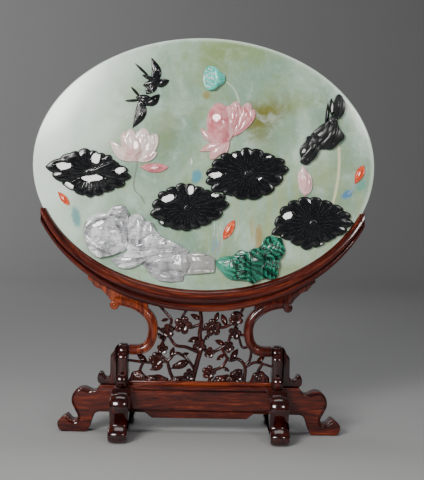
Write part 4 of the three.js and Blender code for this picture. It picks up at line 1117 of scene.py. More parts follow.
rocks = {
    "rock_boulder": [
        ((-95, 198), [(-118, 195), (-118.4, 201), (-117.3, 207), (-114.6, 211), (-111, 214.2),
                      (-104, 218.6), (-95, 218.2), (-91, 223), (-88, 225.4), (-84, 226.8), (-80, 226.2),
                      (-77, 224.4), (-73.6, 219), (-73.6, 210), (-74.4, 200), (-74, 190),
                      (-74, 184.8), (-78, 179.8), (-90, 175.4), (-102, 172.8), (-107, 174.6), (-112, 179.4),
                      (-116, 187)],
         [(-99, 200, 32, 9.4, 7), (-82, 218, 17, 7.6, 6), (-98, 184, 24, 7.8, 5), (-82, 196, 20, 7.8, 6)],
         [([(-116.5, 200), (-115, 207), (-109, 212.6), (-101, 216), (-91, 215), (-82, 210), (-77, 203)],
           2.0, 2.3),
          ([(-113, 197), (-110, 205), (-103, 210), (-94, 211), (-86, 207), (-81, 201)], 1.9, -1.9),
          ([(-108, 203), (-101, 207), (-94, 206)], 2.2, 1.1),
          ([(-91, 223), (-86, 224.5), (-80, 222), (-76, 217)], 1.8, 1.6),
          ([(-90, 216), (-84, 214), (-76, 213)], 1.3, -1.8),
          ([(-115, 190), (-108, 187), (-100, 182.6), (-90, 180)], 1.9, 1.7),
          ([(-113, 185), (-104, 180), (-94, 176.6)], 1.5, -1.3),
          ([(-84, 205), (-79, 196), (-76.6, 187)], 1.6, -1.5),
          ([(-90, 192), (-84, 187), (-79, 184)], 1.8, 1.0)],
         [(-103, 207, 7.5, 2.6, 22, 8.6), (-113, 207.6, 1.4, 5, -38, 6.4), (-96, 216, 6, 0.9, 6, 7.6),
          (-84, 223.6, 5.4, 1.3, 12, 7.2),
          (-80, 207, 1.0, 4, 30, 7.4), (-106, 186.6, 6, 0.9, -24, 6.6)]),
    ],
    "rock_ridge": [
        ((-58, 191), [(-75.2, 211), (-73, 215.4), (-69, 217.2), (-65, 218), (-61.4, 216.6), (-57, 211.5),
                      (-53, 210.4), (-50, 209), (-46, 201), (-40, 195.5), (-30, 191), (-18, 185),
                      (-12.4, 181.6), (-14.4, 178.4), (-25, 177.4),
                      (-38, 178.2), (-49, 176.2),
                      (-62, 177), (-73, 178.4), (-75.6, 183), (-76, 192)],
         [(-62, 203, 20, 8.8, 6), (-52, 203, 12, 7.5, 5), (-50, 186, 26, 7, 7), (-30, 183, 24, 5, 5)],
         [([(-70, 214), (-67, 201), (-69, 188)], 1.6, -1.5),
          ([(-57, 211), (-59.6, 200), (-62, 188)], 1.6, -1.7),
          ([(-51, 208), (-49.6, 198), (-53, 188)], 1.6, 1.5), ([(-64, 213), (-62.6, 200)], 1.6, 1.4),
          ([(-73, 182), (-62, 186), (-48, 190), (-34, 187)], 1.7, 1.4),
          ([(-66, 179), (-50, 183), (-32, 183)], 1.4, -1.3)],
         [(-51.6, 204, 1.3, 4.4, 6, 7.6), (-64, 209, 1.2, 4, 8, 8), (-62, 187, 5, 0.8, 14, 6.8),
          (-40, 189.4, 4.4, 0.8, -8, 5.8)]),
        ((-72, 171), [(-90.6, 171.8), (-84, 175.4), (-77, 178.6), (-72, 182), (-60, 181), (-50, 180),
                      (-48, 177), (-54, 172), (-60, 168.4),
                      (-66, 165.2), (-72, 163.2), (-78, 163), (-83, 164.4), (-88, 168)],
         [(-74, 172, 22, 6.5, 6), (-58, 175, 16, 6, 5)],
         [([(-89, 171), (-78, 173.6), (-66, 174.4), (-53, 177)], 1.8, 1.6),
          ([(-84, 166.6), (-72, 169), (-60, 173)], 1.3, -1.5),
          ([(-80, 176), (-72, 178.4), (-62, 178)], 1.2, -1.2), ([(-76, 165), (-66, 168)], 1.4, 1.0)],
          [(-75, 172.6, 6.5, 1.4, 6, 6.2)]),
    ],
    "rock_slab": [
        ((-28, 166), [(-59.6, 168.2), (-54, 173), (-48.6, 176.4), (-38, 179), (-25, 178.4), (-15, 178.6),
                      (-9.6, 180.6), (1, 180.6), (8, 177), (13.2, 174.6), (13.4, 167), (13.0, 160.6),
                      (-1, 159.2), (-18.4, 157.8), (-18.6, 151.4), (-30, 150.2),
                      (-42, 151.4), (-50, 156), (-55, 162.4)],
         [(-40, 168, 26, 7.6, 6), (-20, 167, 22, 6.4, 5), (0, 170, 26, 6, 6), (-34, 154, 14, 5, 5)],
         [([(-54, 166), (-46, 163.6), (-38, 160), (-28, 161.6), (-19, 159.6)], 1.7, -1.9),
          ([(-54, 170), (-44, 172.6), (-30, 171)], 1.8, 1.5),
          ([(-50, 160), (-40, 155.4), (-28, 156)], 1.8, 1.5),
          ([(-14, 178), (-11.6, 168), (-15, 159)], 1.5, -1.3),
          ([(-9, 178.6), (2, 178.2), (12, 173)], 1.4, 1.1),
          ([(-8, 163), (2, 163.6), (12, 163)], 1.2, -0.7)],
         [(-3, 178.2, 8, 0.9, 2, 5.6), (-45, 171.6, 5, 0.9, 14, 7), (-38, 156.4, 5, 0.9, -16, 5.6)]),
    ],
}


# the strip behind the cradle's front lip, cut away from whatever stands in it
def lipRoom():
    angles = np.radians(np.linspace(-78, 78, 90))
    inner, outer = 3.6, 9.0
    wide, high, middle = plaque["halfWidth"], plaque["halfHeight"], plaque["centre"]
    above = np.column_stack([(wide - inner) * np.sin(angles), middle - (high - inner) * np.cos(angles)])
    below = np.column_stack([(wide + outer) * np.sin(angles), middle - (high + outer) * np.cos(angles)])
    return board("room", np.vstack([above, below[::-1]]), face - 30, face + 1, None)


for i, (name, forms) in enumerate(rocks.items()):
    parts = [carvedBody(centre, outline, lumpy(2.2, lumps, strokes, 0.3, 20 + i, 1.0, facets), marble, 0.9,
                        34, 30, 0)
             for centre, outline, lumps, strokes, facets in forms]
    parts[0].name = name + "_carved"
    if parts[1:]:
        carve(parts[0], parts[1:], "UNION", 30)
    fitted(carve(parts[0], [lipRoom()], "DIFFERENCE", 30), "grey_marble", name)

malachiteRock = {
    "centre": (50, 168),
    "outline": [
        (14, 172), (15, 165), (20, 161), (24, 156), (31, 153), (38, 153.6), (45, 153.2), (50, 149.6),
        (54, 152), (60, 155.6), (68, 155), (74, 155.6), (76, 160), (75, 165), (78, 168.6), (77, 174),
        (81, 179), (83, 184), (80.6, 190), (79, 196.6), (72, 198.6), (66, 199), (61, 195.4), (58, 188),
        (55, 186), (50, 185.6),
        (46, 182), (43, 182.6), (39, 184), (35, 182.6), (31, 177.6), (22, 177), (16, 174.6)],
    "lumps": [(47, 170, 30, 8.8), (27, 166, 24, 6.4, 5), (68, 186, 22, 7.8), (68, 166, 20, 7.0),
              (39, 180, 9, 6)],
    "facets": [(24, 171.6, 4.4, 0.8, 12, 6.2), (38.6, 181.4, 3.4, 0.8, 6, 5.6), (35, 177.2, 3, 0.6, 6, 6.2),
               (47, 178, 0.5, 3.4, 0, 9)],
    "layers": 7,
}


def malachiteStrokes():
    lines = [([(47.5, 183), (46.5, 172), (48, 160), (49.5, 151)], 0.9, 1.9),
             ([(15, 173.4), (24, 175), (34, 178), (45, 177.5)], 0.8, 1.1),
             ([(43, 178), (43.5, 165), (44.5, 155)], 1.0, -1.2)]
    for k in range(6):  # stepped terraces left of the ridge
        z = 156 + 3.9 * k
        lines.append(([(32 + 0.5 * k, z - 1.2), (38, z + 0.2), (44.5, z + 0.9)], 0.75, 1.0))
        lines.append(([(32 + 0.5 * k, z + 0.9), (38, z + 2.2), (44.5, z + 2.9)], 0.7, -0.8))
    for k in range(3):  # curved layers at the foot
        lines.append(([(27 + 2 * k, 157), (33 + k, 154.6 + 0.8 * k), (41, 156 - 0.4 * k)], 0.7, 0.6))
    for k in range(malachiteRock["layers"]):  # the upper right fan of wavy layers
        t = k / (malachiteRock["layers"] - 1)
        start, end = np.array([50 + 10 * t, 178.5 - 3 * t]), np.array([63 + 19.5 * t, 198.5 - 17 * t])
        middle = (start + end) / 2 + np.array([2.6, -1.6])
        route = splineThrough([start, (start + middle) / 2 + (-0.6, 0.9), middle,
                               (middle + end) / 2 + (0.8, -0.8), end], 4)
        lines += [(route, 0.8, 1.1), (route + (1.1, 1.1), 0.7, -0.9)]
    for k in range(5):  # leaning layers below it
        x = 60.5 + 3.8 * k
        route = splineThrough([(x - 1, 177), (x + 0.8, 171), (x - 0.6, 164), (x + 0.4, 156.5)], 4)
        lines += [(route, 0.8, 1.0), (route + (1.8, 0), 0.7, -0.9)]
    return lines


m = malachiteRock
piece = carvedBody(m["centre"], m["outline"],
                   lumpy(2.4, m["lumps"], malachiteStrokes(), 0.12, 77, 1.0, m["facets"]), malachite, 0.42,
                   64, 34, 1)
piece.name = "malachite_rock_carved"
fitted(carve(piece, [leafRoom("leaf_right"), lipRoom()], "DIFFERENCE", 34), "malachite", "malachite_rock")
print("rocks made")


# the stand

cradle = {
    "halfWidth": 175.5, "halfHeight": 145.0, "hornX": 160.5, "hornTop": 222.0, "hornAngle": 72,
    "steps": 150,
    # how far out in mm, and as a share of the thickness, and how deep
    "section": [
        (-3, 0, -4.4), (-3, 0, -6.2), (-2.7, 0, -6.9), (-1.2, 0, -8.8), (0.2, 0, -10.2), (0.8, 0, -10.6),
        (1.5, 0, -10.2), (2.1, 0.02, -10.3), (2.2, 0.12, -10.8), (1.6, 0.26, -11), (1.0, 0.38, -10.9),
        (0.6, 0.48, -10.4), (0.3, 0.55, -9.6), (0.1, 0.58, -8.9),
        (0, 0.61, -8.7), (0, 0.64, -8.9), (0, 0.67, -9.7), (0, 0.72, -10.25), (0, 0.80, -10.4),
        (0, 0.88, -10.2), (0, 0.95, -9.6), (0, 0.985, -8.8), (0, 1, -8.2), (0, 1, 9.0), (-0.5, 1, 9.8),
        (-1.4, 1, 10.4), (-1, 0.1, 10.4),
        (-2, 0, 10.2), (-3, 0, 8.6), (-3, 0, 4.4), (0.3, 0, 4.4), (0.3, 0, -4.4)],
}


def cradleRail():
    c = cradle
    rings = []
    for angle in np.radians(np.linspace(-c["hornAngle"], c["hornAngle"], c["steps"] + 1)):
        inner = np.array([plaque["halfWidth"] * math.sin(angle),
                          plaque["centre"] - plaque["halfHeight"] * math.cos(angle)])
        outer = np.array([c["halfWidth"] * math.sin(angle),
                          plaque["centre"] - c["halfHeight"] * math.cos(angle)])
        thick = np.hypot(*(outer - inner))
        rings.append([[*(inner + (outward / thick + share) * (outer - inner))] for outward, share,
                      _ in c["section"]])
    rings = [np.column_stack([np.array(r)[:, 0], [y for _, _, y in c["section"]], np.array(r)[:, 1]])
             for r in rings]
    rail = skin("cradle_carved", rings, cradleWood, 50)
    x, top = c["hornX"], c["hornTop"]
    blocks = [board("cutter", [(s * x, 100), (s * (x + 60), 100), (s * (x + 60), 320), (s * x, 320)], -40,
                    40, None) for s in (-1, 1)]
    blocks.append(board("cutter", [(-300, top), (300, top), (300, top + 80), (-300, top + 80)], -50, 50,
                        None))
    # a small notch splits each horn into an inner and an outer point
    blocks += [board("cutter", [(s * 156.9, top + 2), (s * 158.0, top + 2), (s * 157.9, top - 8.5)], -50,
                     50, None) for s in (-1, 1)]
    return carve(rail, blocks, "DIFFERENCE", 40)


fitted(softened(cradleRail(), 0.35, 2, 60), "hardwood", "cradle")

scroll = {
    "route": [(71, 82.2), (62, 82.2), (54.4, 85), (49.4, 92), (47.6, 102), (49.2, 111.6), (55, 119.6),
              (64, 126), (75, 129.8), (86, 131.4)],
    "thickness": 9.4, "depth": 16, "knob": (86.4, 126.6, 4.6),
    # half the section: across as a share of the thickness, depth as a share of the depth
    "section": [(0.50, 0.20), (0.50, 0.36), (0.47, 0.42), (0.42, 0.455), (0.36, 0.455), (0.32, 0.43),
                (0.28, 0.44), (0.20, 0.475), (0.08, 0.50)],
    "web": [(52, 122), (64, 126), (75, 130), (86, 130), (91, 131), (92.6, 135), (96.4, 138.4), (100, 142.4),
            (104.6, 143.4), (107.6, 146.4), (109.6, 150), (114, 152.6), (112, 158), (96, 150), (74, 138),
            (54, 131)],
}


def cradleRoom():
    angles = np.radians(np.linspace(-74, 74, 80))
    points = np.column_stack([(cradle["halfWidth"] + 0.3) * np.sin(angles),
                              plaque["centre"] - (cradle["halfHeight"] + 0.3) * np.cos(angles)])
    return board("room", points, -30, 30, None)


def scrollBracket(side, word, material):
    route = splineThrough(scroll["route"], 14) * (side, 1)
    way = np.gradient(route, axis=0)
    way /= np.hypot(*way.T)[:, None]
    quarter = [(a * scroll["thickness"], b * scroll["depth"]) for a, b in scroll["section"]]
    half = quarter + [(-a, b) for a, b in quarter[::-1]]
    section = np.array(half + [(a, -b) for a, b in half[::-1]])
    rings = [np.column_stack([at[0] + section[:, 0] * w[1], section[:, 1], at[1] - section[:, 0] * w[0]])
             for at, w in zip(route, way)]
    arm = skin("scroll_bracket_" + word + "_carved", rings, material, 40)
    kx, kz, radius = scroll["knob"]
    turns = np.linspace(0, 2 * math.pi, 40, endpoint=False)
    knob = board("knob", np.column_stack([side * kx + radius * np.cos(turns), kz + radius * np.sin(turns)]),
                 -7.4, 7.4, material)
    eye = board("eye", np.column_stack([side * kx + 1.7 * np.cos(turns), kz + 1.7 * np.sin(turns)]), -8.0,
                8.0, material)
    web = board("web", cornerCut(scroll["web"], 2) * (side, 1), -6.8, 6.8, material)
    for part, width in ((knob, 1.2), (eye, 0.5), (web, 0.8)):
        softened(part, width, 3)
    carve(arm, [web, knob, eye], "UNION", 40)
    return carve(arm, [cradleRoom()], "DIFFERENCE", 40)


for side, word, material in ((-1, "left", scrollWoodLeft), (1, "right", scrollWoodRight)):
    fitted(scrollBracket(side, word, material), "hardwood", "scroll_bracket_" + word)
print("cradle and scrolls made")

foot = {
    "width": 18.4, "centre": 77.0, "top": 47.0, "lap": 33.5, "railHalf": 9.0,
    "outline": [(24, 44.6), (26.4, 41.8), (30, 40.8), (34, 42.6), (38, 43.9), (43.4, 43.2), (48, 39.4),
                (50.2, 33.6), (49.8, 28), (47, 22.4), (44.4, 17.6), (43.8, 14.4), (46, 11.8), (50, 11.8),
                (53, 15), (55.4, 16.6), (59, 14.8), (63, 11),
                (64, 7.4), (62.8, 3), (59.6, 0)],
    "heel": [(35, 0), (31.6, 5.6), (29.4, 12.4), (26.8, 18.2), (23, 20.3)],
    "apron": [(54, 20.3), (47, 15)],
}


def footHalf():
    upper = splineThrough([(22.4, foot["top"])] + foot["outline"], 6)
    return np.vstack([upper, splineThrough(foot["heel"], 6)])


# shallow grooves, as thin tubes along lines, cut into a wooden piece
def grooved(piece, lines, radius=0.5):
    tools = []
    for line in lines:
        line = np.asarray(line, float)
        way = np.gradient(line, axis=0)
        way /= np.linalg.norm(way, axis=1)[:, None] + 1e-9
        normal = np.array([0.0, 1.0, 0.0]) if abs(way[0][1]) < 0.5 else np.array([1.0, 0.0, 0.0])
        rings = []
        for at, w in zip(line, way):
            other = np.cross(w, normal)
            other /= np.linalg.norm(other) + 1e-9
            depth = np.cross(other, w)
            rings.append([at + radius * (math.cos(a) * other + math.sin(a) * depth)
                          for a in np.linspace(0, 2 * math.pi, 8, endpoint=False)])
        tools.append(skin("groove", rings, None))
    return carve(piece, tools, "DIFFERENCE", 40)


def crossFoot(side, word):
    half = footHalf()
    outline = np.vstack([half, (half * (-1, 1))[::-1]])
    x = side * foot["centre"]
    beam = pillow("cross_foot_" + word + "_carved", outline, x, foot["width"] / 2, foot["width"] / 2, 3.2,
                  footWood, True, 9)
    h = foot["railHalf"] + 0.1
    seat = board("seat", [(x - 20, foot["lap"]), (x + 20, foot["lap"]), (x + 20, 60), (x - 20, 60)], -h, h,
                 None)
    return carve(beam, [seat], "DIFFERENCE", 40)


def baseRail():
    half = footHalf() + (foot["centre"], 0)
    right = np.vstack([half, foot["apron"]])
    outline = np.vstack([right, (right * (-1, 1))[::-1]])
    rail = pillow("base_rail_carved", outline, 0, foot["railHalf"], 1.6, 1.2, railWood)
    seats = []
    for s in (-1, 1):
        x, w = s * foot["centre"], foot["width"] / 2 + 0.05
        seats.append(board("seat", [(x - w, -10), (x + w, -10), (x + w, foot["lap"]), (x - w, foot["lap"])],
                           -20, 20, None))
    carve(rail, seats, "DIFFERENCE", 40)
    lines = []
    for s in (-1, 1):
        inner = splineThrough([(106, 41.5), (110, 39.6), (115, 41), (120, 41.6), (124.4, 37.6), (125.6, 31),
                               (122.6, 24), (119.4, 17),
                               (119.6, 11.6), (124, 8.6), (129, 10.6), (132.6, 13.0)], 8)
        for y in (-foot["railHalf"], foot["railHalf"]):
            lines.append(np.column_stack([s * inner[:, 0], np.full(len(inner), y), inner[:, 1]]))
    for z in (42.8, 22.6):
        for y in (-foot["railHalf"], foot["railHalf"]):
            lines.append(np.array([(x, y, z) for x in np.linspace(-66.5, 66.5, 12)]))
    return grooved(rail, lines, 0.95)


fitted(baseRail(), "hardwood", "base_rail")
for side, word in ((-1, "left"), (1, "right")):
    fitted(crossFoot(side, word), "hardwood", "cross_foot_" + word)

post = {"half": 5.5, "top": 88.0, "cap": 2.4}
bracket = {
    "width": 9.6,
    "outline": [(20.5, 0), (23.6, 0.9), (25.4, 4), (25.2, 8.4), (23.4, 12), (21, 13), (19, 11), (17.2, 8.2),
                (14.6, 7.8), (12.8, 9.8),
                (12.8, 28), (11.8, 30.6), (9.4, 33.4), (8, 37), (5.5, 40)],
}


def postPiece(side, word):
    x, h, top = side * foot["centre"], post["half"], post["top"]
    outline = [(x - h, 47), (x + h, 47), (x + h, top - post["cap"]), (x + h - post["cap"], top),
               (x - h + post["cap"], top), (x - h, top - post["cap"])]
    return softened(board("post_" + word + "_carved", outline, -h, h, darkWood), 0.8, 3)


def standingBracket(side, word, place):
    lower = splineThrough(bracket["outline"][:10], 5)
    upper = splineThrough(bracket["outline"][10:], 5)
    shape = np.vstack([[(5.5, 0)], lower, upper]) + (0, foot["top"])
    x, w = side * foot["centre"], bracket["width"] / 2
    name = "standing_bracket_" + word + "_" + place
    if place == "outer":
        piece = pillow(name + "_carved", shape * (side, 1) + (x, 0), 0, w, 2.6, 1.1, darkWood)
    else:
        piece = pillow(name + "_carved", shape * (-1 if place == "front" else 1, 1), x, w, w, 1.7, darkWood,
                       True, 8)
    return fitted(piece, "hardwood", name)


for side, word in ((-1, "left"), (1, "right")):
    fitted(postPiece(side, word), "hardwood", "post_" + word)
    for place in ("outer", "front", "back"):
        standingBracket(side, word, place)
print("feet, posts and brackets made")

# the openwork panel: branches, blossoms and leaves are grown by Geometry Nodes

panel = {
    "halfDepth": 3.5, "strip": (46.8, 51.2), "inner": 71.5, "branchSides": 10, "thin": 0.92,
    # route, width at the start, width at the end
    "branches": [
        ([(-8, 49), (-5, 62), (-2, 74), (1, 86), (-1, 98), (0.5, 110), (-1, 123)], 6.2, 4.2),
        ([(-2, 80), (-14, 85), (-25, 87), (-33, 97), (-46, 106)], 4.0, 3.0),
        ([(-34, 100), (-29.5, 111), (-34, 118), (-42, 126.5)], 3.6, 3.0),
        ([(-5, 62), (-13, 73), (-24, 79), (-33, 71), (-50, 69), (-71.5, 71)], 3.5, 3.0),
        ([(-33, 71), (-41, 80), (-34, 98)], 3.8, 3.4),
        ([(1, 84), (12, 81), (21, 85), (28, 91), (31, 98), (46, 98)], 4.0, 3.2),
        ([(21, 85), (29, 73), (38, 74), (45, 66), (44, 49)], 3.4, 4.2),
        ([(44, 66), (50, 74), (50, 86), (42, 86), (38, 97)], 3.4, 2.8),
        ([(45, 66), (56, 71), (71.5, 67)], 3.4, 2.8),
        ([(0, 103), (13, 105), (24, 106), (35, 113), (43, 126.5)], 3.8, 3.2),
        ([(-1, 108), (-12, 105), (-19, 113), (-14, 123.4)], 3.6, 3.0),
        ([(9, 49), (12, 61), (22, 66), (28, 76)], 4.0, 3.2), ([(-33, 71), (-30, 60), (-25, 49)], 3.6, 4.2),
        ([(-57, 69), (-60, 60), (-56, 49)], 3.2, 3.8), ([(62, 69), (58, 60), (62, 49)], 3.2, 3.8),
    ],
    "blossoms": [(-18, 107, 9.6), (12, 105, 9.4), (35, 114, 7.6), (34, 100, 7), (-33, 101, 7.4),
                 (-1, 87, 7.4), (9, 80, 6), (-44, 72, 8),
                 (28, 86, 6.4), (9, 60, 7.6), (-10, 57, 7), (38, 56, 7), (-38, 83, 6)],
    "leaves": [(-1, 95, -12, 91), (0, 113, -10, 117.5), (14, 110, 17, 120), (26, 106.5, 21, 118),
               (43, 117, 33, 121), (-32, 113, -39.5, 111),
               (3, 92, 9, 98), (24.6, 79, 17, 73), (30, 72, 37, 83), (56, 70.5, 64, 77),
               (-53, 70, -63, 76.5), (-20, 76, -12, 79),
               (-30, 74, -27, 84), (25, 88, 15, 92), (-43, 99, -37, 92), (22, 66, 29, 62)],
    "mounds": [(-62, 51, 9, 11), (-44, 51, 13, 7), (-20, 51, 11, 6), (25, 51, 13, 8), (60, 51, 10, 12)],
    "birds": [{"base": (-30, 63), "tip": (-11, 71), "width": 8.6, "widest": 0.6},
              {"base": (-51, 61.4), "tip": (-37, 66.6), "width": 7, "widest": 0.6},
              {"base": (28, 57), "tip": (43, 63), "width": 7, "widest": 0.6}],
}


# a body with a carved front and the same back, between poles at the middle of its outline
def lens(name, outline, centre, shares, depth, material, sharp=40):
    outline, centre = np.asarray(outline, float), np.asarray(centre, float)
    turn = np.arange(len(outline)) / len(outline)
    top = float(np.max(depth(0.0, np.zeros(1), centre[:1], centre[1:])))
    front = []
    for share in sorted(shares):
        at = centre + share * (outline - centre)
        deep = depth(share, turn, at[:, 0], at[:, 1]) * np.ones(len(at))
        front.append(np.column_stack([at[:, 0], -deep, at[:, 1]]))
    back = [ring * (1, -1, 1) for ring in front[::-1]]
    return skin(name, [[[centre[0], -top, centre[1]]]] + front + back + [[[centre[0], top, centre[1]]]],
                material, sharp)


def blossomForm():
    turns = np.arange(30) / 30
    fold = np.abs(np.cos(math.pi * 5 * turns)) ** 0.7
    outline = np.column_stack([np.cos(2 * math.pi * turns),
                               np.sin(2 * math.pi * turns)]) * (0.70 + 0.30 * fold)[:, None]

    def depth(share, turn, x, z):
        rim = np.full(len(turn), math.sqrt(max(1 - share**8, 0)))
        bowl = 0.55 + 0.45 * smoothStep(0.25, 0.72,
                                        share) - 0.16 * (1 - np.abs(np.cos(math.pi * 5
                                                * turn)) ** 0.7) * smoothStep(0.2, 0.6, share)
        boss = 0.42 * smoothStep(0.30, 0.14, share)
        return np.maximum(rim * (bowl + boss), 0.05)
    return lens("blossomForm", outline, (0, 0), (0.14, 0.24, 0.34, 0.55, 0.75, 0.9, 1.0), depth, panelWood)


def leafForm():
    outline = petalOutline({"base": (0, 0), "tip": (0, 1), "width": 0.46, "widest": 0.5, "blunt": 0.9}, 9)

    def depth(share, turn, x, z):
        return np.maximum((1 - share**4) * (0.75 + 0.25 * smoothStep(0.0, 0.35, share)), 0.05)
    return lens("leafForm", outline, (0, 0.5), (0.2, 0.45, 0.75, 0.92, 1.0), depth, panelWood)


def openworkTree():
    tree = bpy.data.node_groups.new("openwork", "GeometryNodeTree")
    sockets = {}
    for word, kind in (("Geometry", "Geometry"), ("Blossom", "Object"), ("Leaf", "Object"),
                       ("Finish", "Material"), ("Sides", "Int"), ("Depth", "Float")):
        sockets[word] = tree.interface.new_socket(word, in_out="INPUT",
                socket_type="NodeSocket" + kind).identifier
    tree.interface.new_socket("Geometry", in_out="OUTPUT", socket_type="NodeSocketGeometry")
    link = tree.links.new

    def make(kind, **settings):
        node = tree.nodes.new(kind)
        for key, value in settings.items():
            setattr(node, key, value)
        return node

    def attribute(word, kind="FLOAT"):
        node = make("GeometryNodeInputNamedAttribute", data_type=kind)
        node.inputs["Name"].default_value = word
        return node.outputs["Attribute"]

    start, end, both = make("NodeGroupInput"), make("NodeGroupOutput"), make("GeometryNodeJoinGeometry")
    wires, sweep = make("GeometryNodeMeshToCurve"), make("GeometryNodeCurveToMesh")
    ring = make("GeometryNodeCurvePrimitiveCircle")
    ring.inputs["Radius"].default_value = mm
    sweep.inputs["Fill Caps"].default_value = True
    link(start.outputs["Geometry"], wires.inputs[0])
    link(start.outputs["Sides"], ring.inputs["Resolution"])
    link(wires.outputs[0], sweep.inputs["Curve"])
    link(ring.outputs["Curve"], sweep.inputs["Profile Curve"])
    link(attribute("reach"), sweep.inputs["Scale"])
    link(sweep.outputs[0], both.inputs[0])
    turning, size = make("ShaderNodeCombineXYZ"), make("ShaderNodeCombineXYZ")
    link(attribute("tilt"), turning.inputs[0])
    link(attribute("turn"), turning.inputs[1])
    link(attribute("reach"), size.inputs[0])
    link(start.outputs["Depth"], size.inputs[1])
    link(attribute("reach"), size.inputs[2])
    for number, word in ((1, "Blossom"), (2, "Leaf")):
        form, spots = make("GeometryNodeObjectInfo"), make("GeometryNodeInstanceOnPoints")
        picked = make("FunctionNodeCompare", data_type="INT", operation="EQUAL")
        link(attribute("kind", "INT"), picked.inputs[2])
        picked.inputs[3].default_value = number
        link(start.outputs[word], form.inputs["Object"])
        link(start.outputs["Geometry"], spots.inputs["Points"])
        link(picked.outputs[0], spots.inputs["Selection"])
        link(form.outputs["Geometry"], spots.inputs["Instance"])
        link(turning.outputs[0], spots.inputs["Rotation"])
        link(size.outputs[0], spots.inputs["Scale"])
        link(spots.outputs[0], both.inputs[0])
    real, paint = make("GeometryNodeRealizeInstances"), make("GeometryNodeSetMaterial")
    link(both.outputs[0], real.inputs[0])
    link(real.outputs[0], paint.inputs["Geometry"])
    link(start.outputs["Finish"], paint.inputs["Material"])
    link(paint.outputs[0], end.inputs[0])
    return tree, sockets


def openworkPanel():
    points, edges, reach = [], [], []
    for route, wide, thin in panel["branches"]:
        line = splineThrough(route, 7)
        first = len(points)
        for k, (x, z) in enumerate(line):
            points.append((x, 0, z))
            reach.append((wide + (thin - wide) * k / (len(line) - 1)) / 2 * panel["thin"])
        edges += [(first + k, first + k + 1) for k in range(len(line) - 1)]
    rows = [(0.0, 0.0, 0)] * len(points)  # turn, tilt and kind of each point
    for k, (x, z, size) in enumerate(panel["blossoms"]):
        points.append((x, 0, z))
        reach.append(size)
        rows.append((-math.radians(25 * k), math.radians(7 * math.sin(k * 2.1)), 1))
    for x0, z0, x1, z1 in panel["leaves"]:
        points.append((x0, 0, z0))
        reach.append(math.hypot(x1 - x0, z1 - z0) * 1.12)
        heading = math.atan2(x1 - x0, z1 - z0)
        lean = -13 * math.cos(heading + math.pi / 4)  # tips to the upper left lean back
        rows.append((heading, math.radians(lean), 2))
    mesh = bpy.data.meshes.new("openwork_panel_carved")
    mesh.from_pydata((np.array(points) * mm).tolist(), edges, [])
    turn, tilt, kind = zip(*rows)
    columns = (("reach", "FLOAT", reach), ("turn", "FLOAT", turn), ("tilt", "FLOAT", tilt),
               ("kind", "INT", kind))
    for word, form, values in columns:
        mesh.attributes.new(word, form, "POINT").data.foreach_set("value", values)
    piece = bpy.data.objects.new("openwork_panel_carved", mesh)
    bpy.context.scene.collection.objects.link(piece)
    tree, sockets = openworkTree()
    grow = piece.modifiers.new("openwork", "NODES")
    grow.node_group = tree
    forms = blossomForm(), leafForm()
    grow[sockets["Blossom"]], grow[sockets["Leaf"]] = forms
    grow[sockets["Finish"]], grow[sockets["Sides"]] = panelWood, panel["branchSides"]
    grow[sockets["Depth"]] = panel["halfDepth"] - 0.3
    applied(piece)
    for form in forms:
        dropPiece(form)
    tidyMesh(piece, 40)
    return piece


def panelBird(form):
    base, tip = np.array(form["base"], float), np.array(form["tip"], float)
    along = (tip - base) / np.hypot(*(tip - base))
    side = np.array([-along[1], along[0]])

    def depth(share, turn, x, z):
        return np.maximum(3.5 * np.sqrt(np.maximum(1 - share**3, 0)), 0.2)
    body = lens("bird", petalOutline(form, 16), base + 0.58 * (tip - base),
                (0.25, 0.5, 0.7, 0.85, 0.95, 1.0), depth, panelWood)
    wing = {"base": base + 3 * along + 2.2 * side, "tip": base + 12 * along - 0.5 * side,
            "width": form["width"] * 0.55}

    def wingDepth(share, turn, x, z):
        feather = 0.25 * np.cos(((x - base[0]) * along[0] + (z - base[1]) * along[1]) * 2 * math.pi / 2.2)
        return np.maximum(4.2 * np.sqrt(np.maximum(1 - share**4, 0)) + feather * (1 - share), 0.2)
    middle = (np.array(wing["base"]) + wing["tip"]) / 2
    return [body, lens("wing", petalOutline(wing, 14), middle, (0.3, 0.6, 0.85, 1.0), wingDepth, panelWood)]


def panelMound(x, z, reach, high):
    turns = np.linspace(0, math.pi, 26)
    ledges = 1 + 0.05 * np.cos(turns * 7)
    outline = np.column_stack([x - reach * np.cos(turns) * ledges,
                               z + high * np.sin(turns) * ledges - 0.8])[::-1]

    def depth(share, turn, px, pz):
        step = 0.30 * np.sin(share * math.pi * 5.5)
        return np.maximum((3.1 + step) * np.sqrt(np.maximum(1 - share**7, 0)), 0.2)
    return lens("mound", outline, (x, z + high * 0.25), np.linspace(0.12, 1, 12), depth, panelWood)


grown = openworkPanel()
extras = [part for form in panel["birds"] for part in panelBird(form)]
extras += [panelMound(*form) for form in panel["mounds"]]
whole = gathered("openwork_panel_carved_whole", [grown] + extras, panelWood)
whole.data.set_sharp_from_angle(angle=math.radians(40))
fitted(whole, "hardwood", "openwork_panel")
low, high = panel["strip"]
inner, deep = panel["inner"], panel["halfDepth"]
corners = [(-inner, low), (inner, low), (inner, high), (-inner, high)]
strip = board("openwork_panel_strip", corners, -deep, deep, stripWood)
fitted(softened(strip, 0.9, 3), "hardwood")
print("openwork made")


# the table it stands on, the camera and the lights

stage = {"left": -3.5, "right": 3.5, "near": -2.4, "bend": 2.3, "radius": 1.6, "top": 4.5}


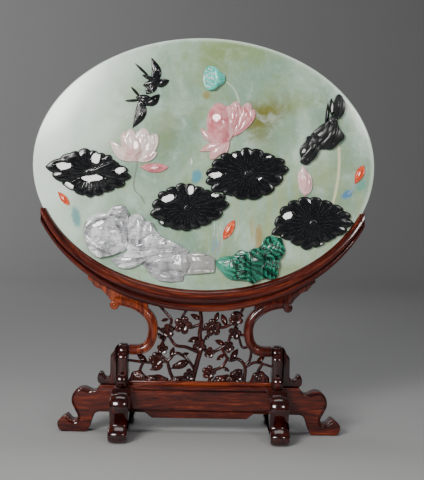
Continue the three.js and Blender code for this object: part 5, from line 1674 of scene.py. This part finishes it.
def paper():
    s = Shader("paper", 0.75)
    tone = s.noise(0.0012, 3, 0.5)
    return s.finish(s.mix(tone, (0.382, 0.38, 0.382), (0.41, 0.41, 0.41)), s.noise(0.5, 2), 0.02)


def sweepFloor():
    curve = [(stage["near"], 0.0), (-0.6, 0.0), (0.6, 0.0)]
    for angle in np.radians(np.linspace(0, 90, 25)):
        curve.append((stage["bend"] + stage["radius"] * math.sin(angle),
                      stage["radius"] * (1 - math.cos(angle))))
    curve.append((curve[-1][0], stage["top"]))
    points = [(x * 1000, y * 1000, z * 1000) for y, z in curve for x in (stage["left"], stage["right"])]
    faces = [(2 * k, 2 * k + 1, 2 * k + 3, 2 * k + 2) for k in range(len(curve) - 1)]
    floor = newPiece("paper_sweep", points, faces, paper(), 60)


def setCamera():
    data = bpy.data.cameras.new("camera")
    data.lens, data.sensor_fit, data.sensor_height = view["lens"], "VERTICAL", 36.0
    camera = bpy.data.objects.new("camera", data)
    turn = (Matrix.Rotation(-math.radians(view["yaw"]), 4,
                            "Z") @ Matrix.Rotation(math.radians(90 - view["pitch"]), 4, "X")
            @ Matrix.Rotation(math.radians(view["roll"]), 4, "Z"))
    camera.matrix_world = Matrix.Translation(view["place"]) @ turn
    bpy.context.scene.collection.objects.link(camera)
    bpy.context.scene.camera = camera


def setLights():
    for name, (place, aim, size, watts, colour) in lamps.items():
        data = bpy.data.lights.new(name, "AREA")
        data.shape, data.energy, data.color = "RECTANGLE", watts, colour
        data.size, data.size_y = size
        lamp = bpy.data.objects.new(name, data)
        lamp.location = place
        lamp.rotation_euler = (Vector(aim) - Vector(place)).to_track_quat("-Z", "Y").to_euler()
        bpy.context.scene.collection.objects.link(lamp)
    world = bpy.data.worlds.new("studio")
    world.use_nodes = True
    world.node_tree.nodes["Background"].inputs["Color"].default_value = (0.5, 0.51, 0.53, 1)
    world.node_tree.nodes["Background"].inputs["Strength"].default_value = 0.14
    bpy.context.scene.world = world


sweepFloor()
setCamera()
setLights()
print("stage, camera and lights set")
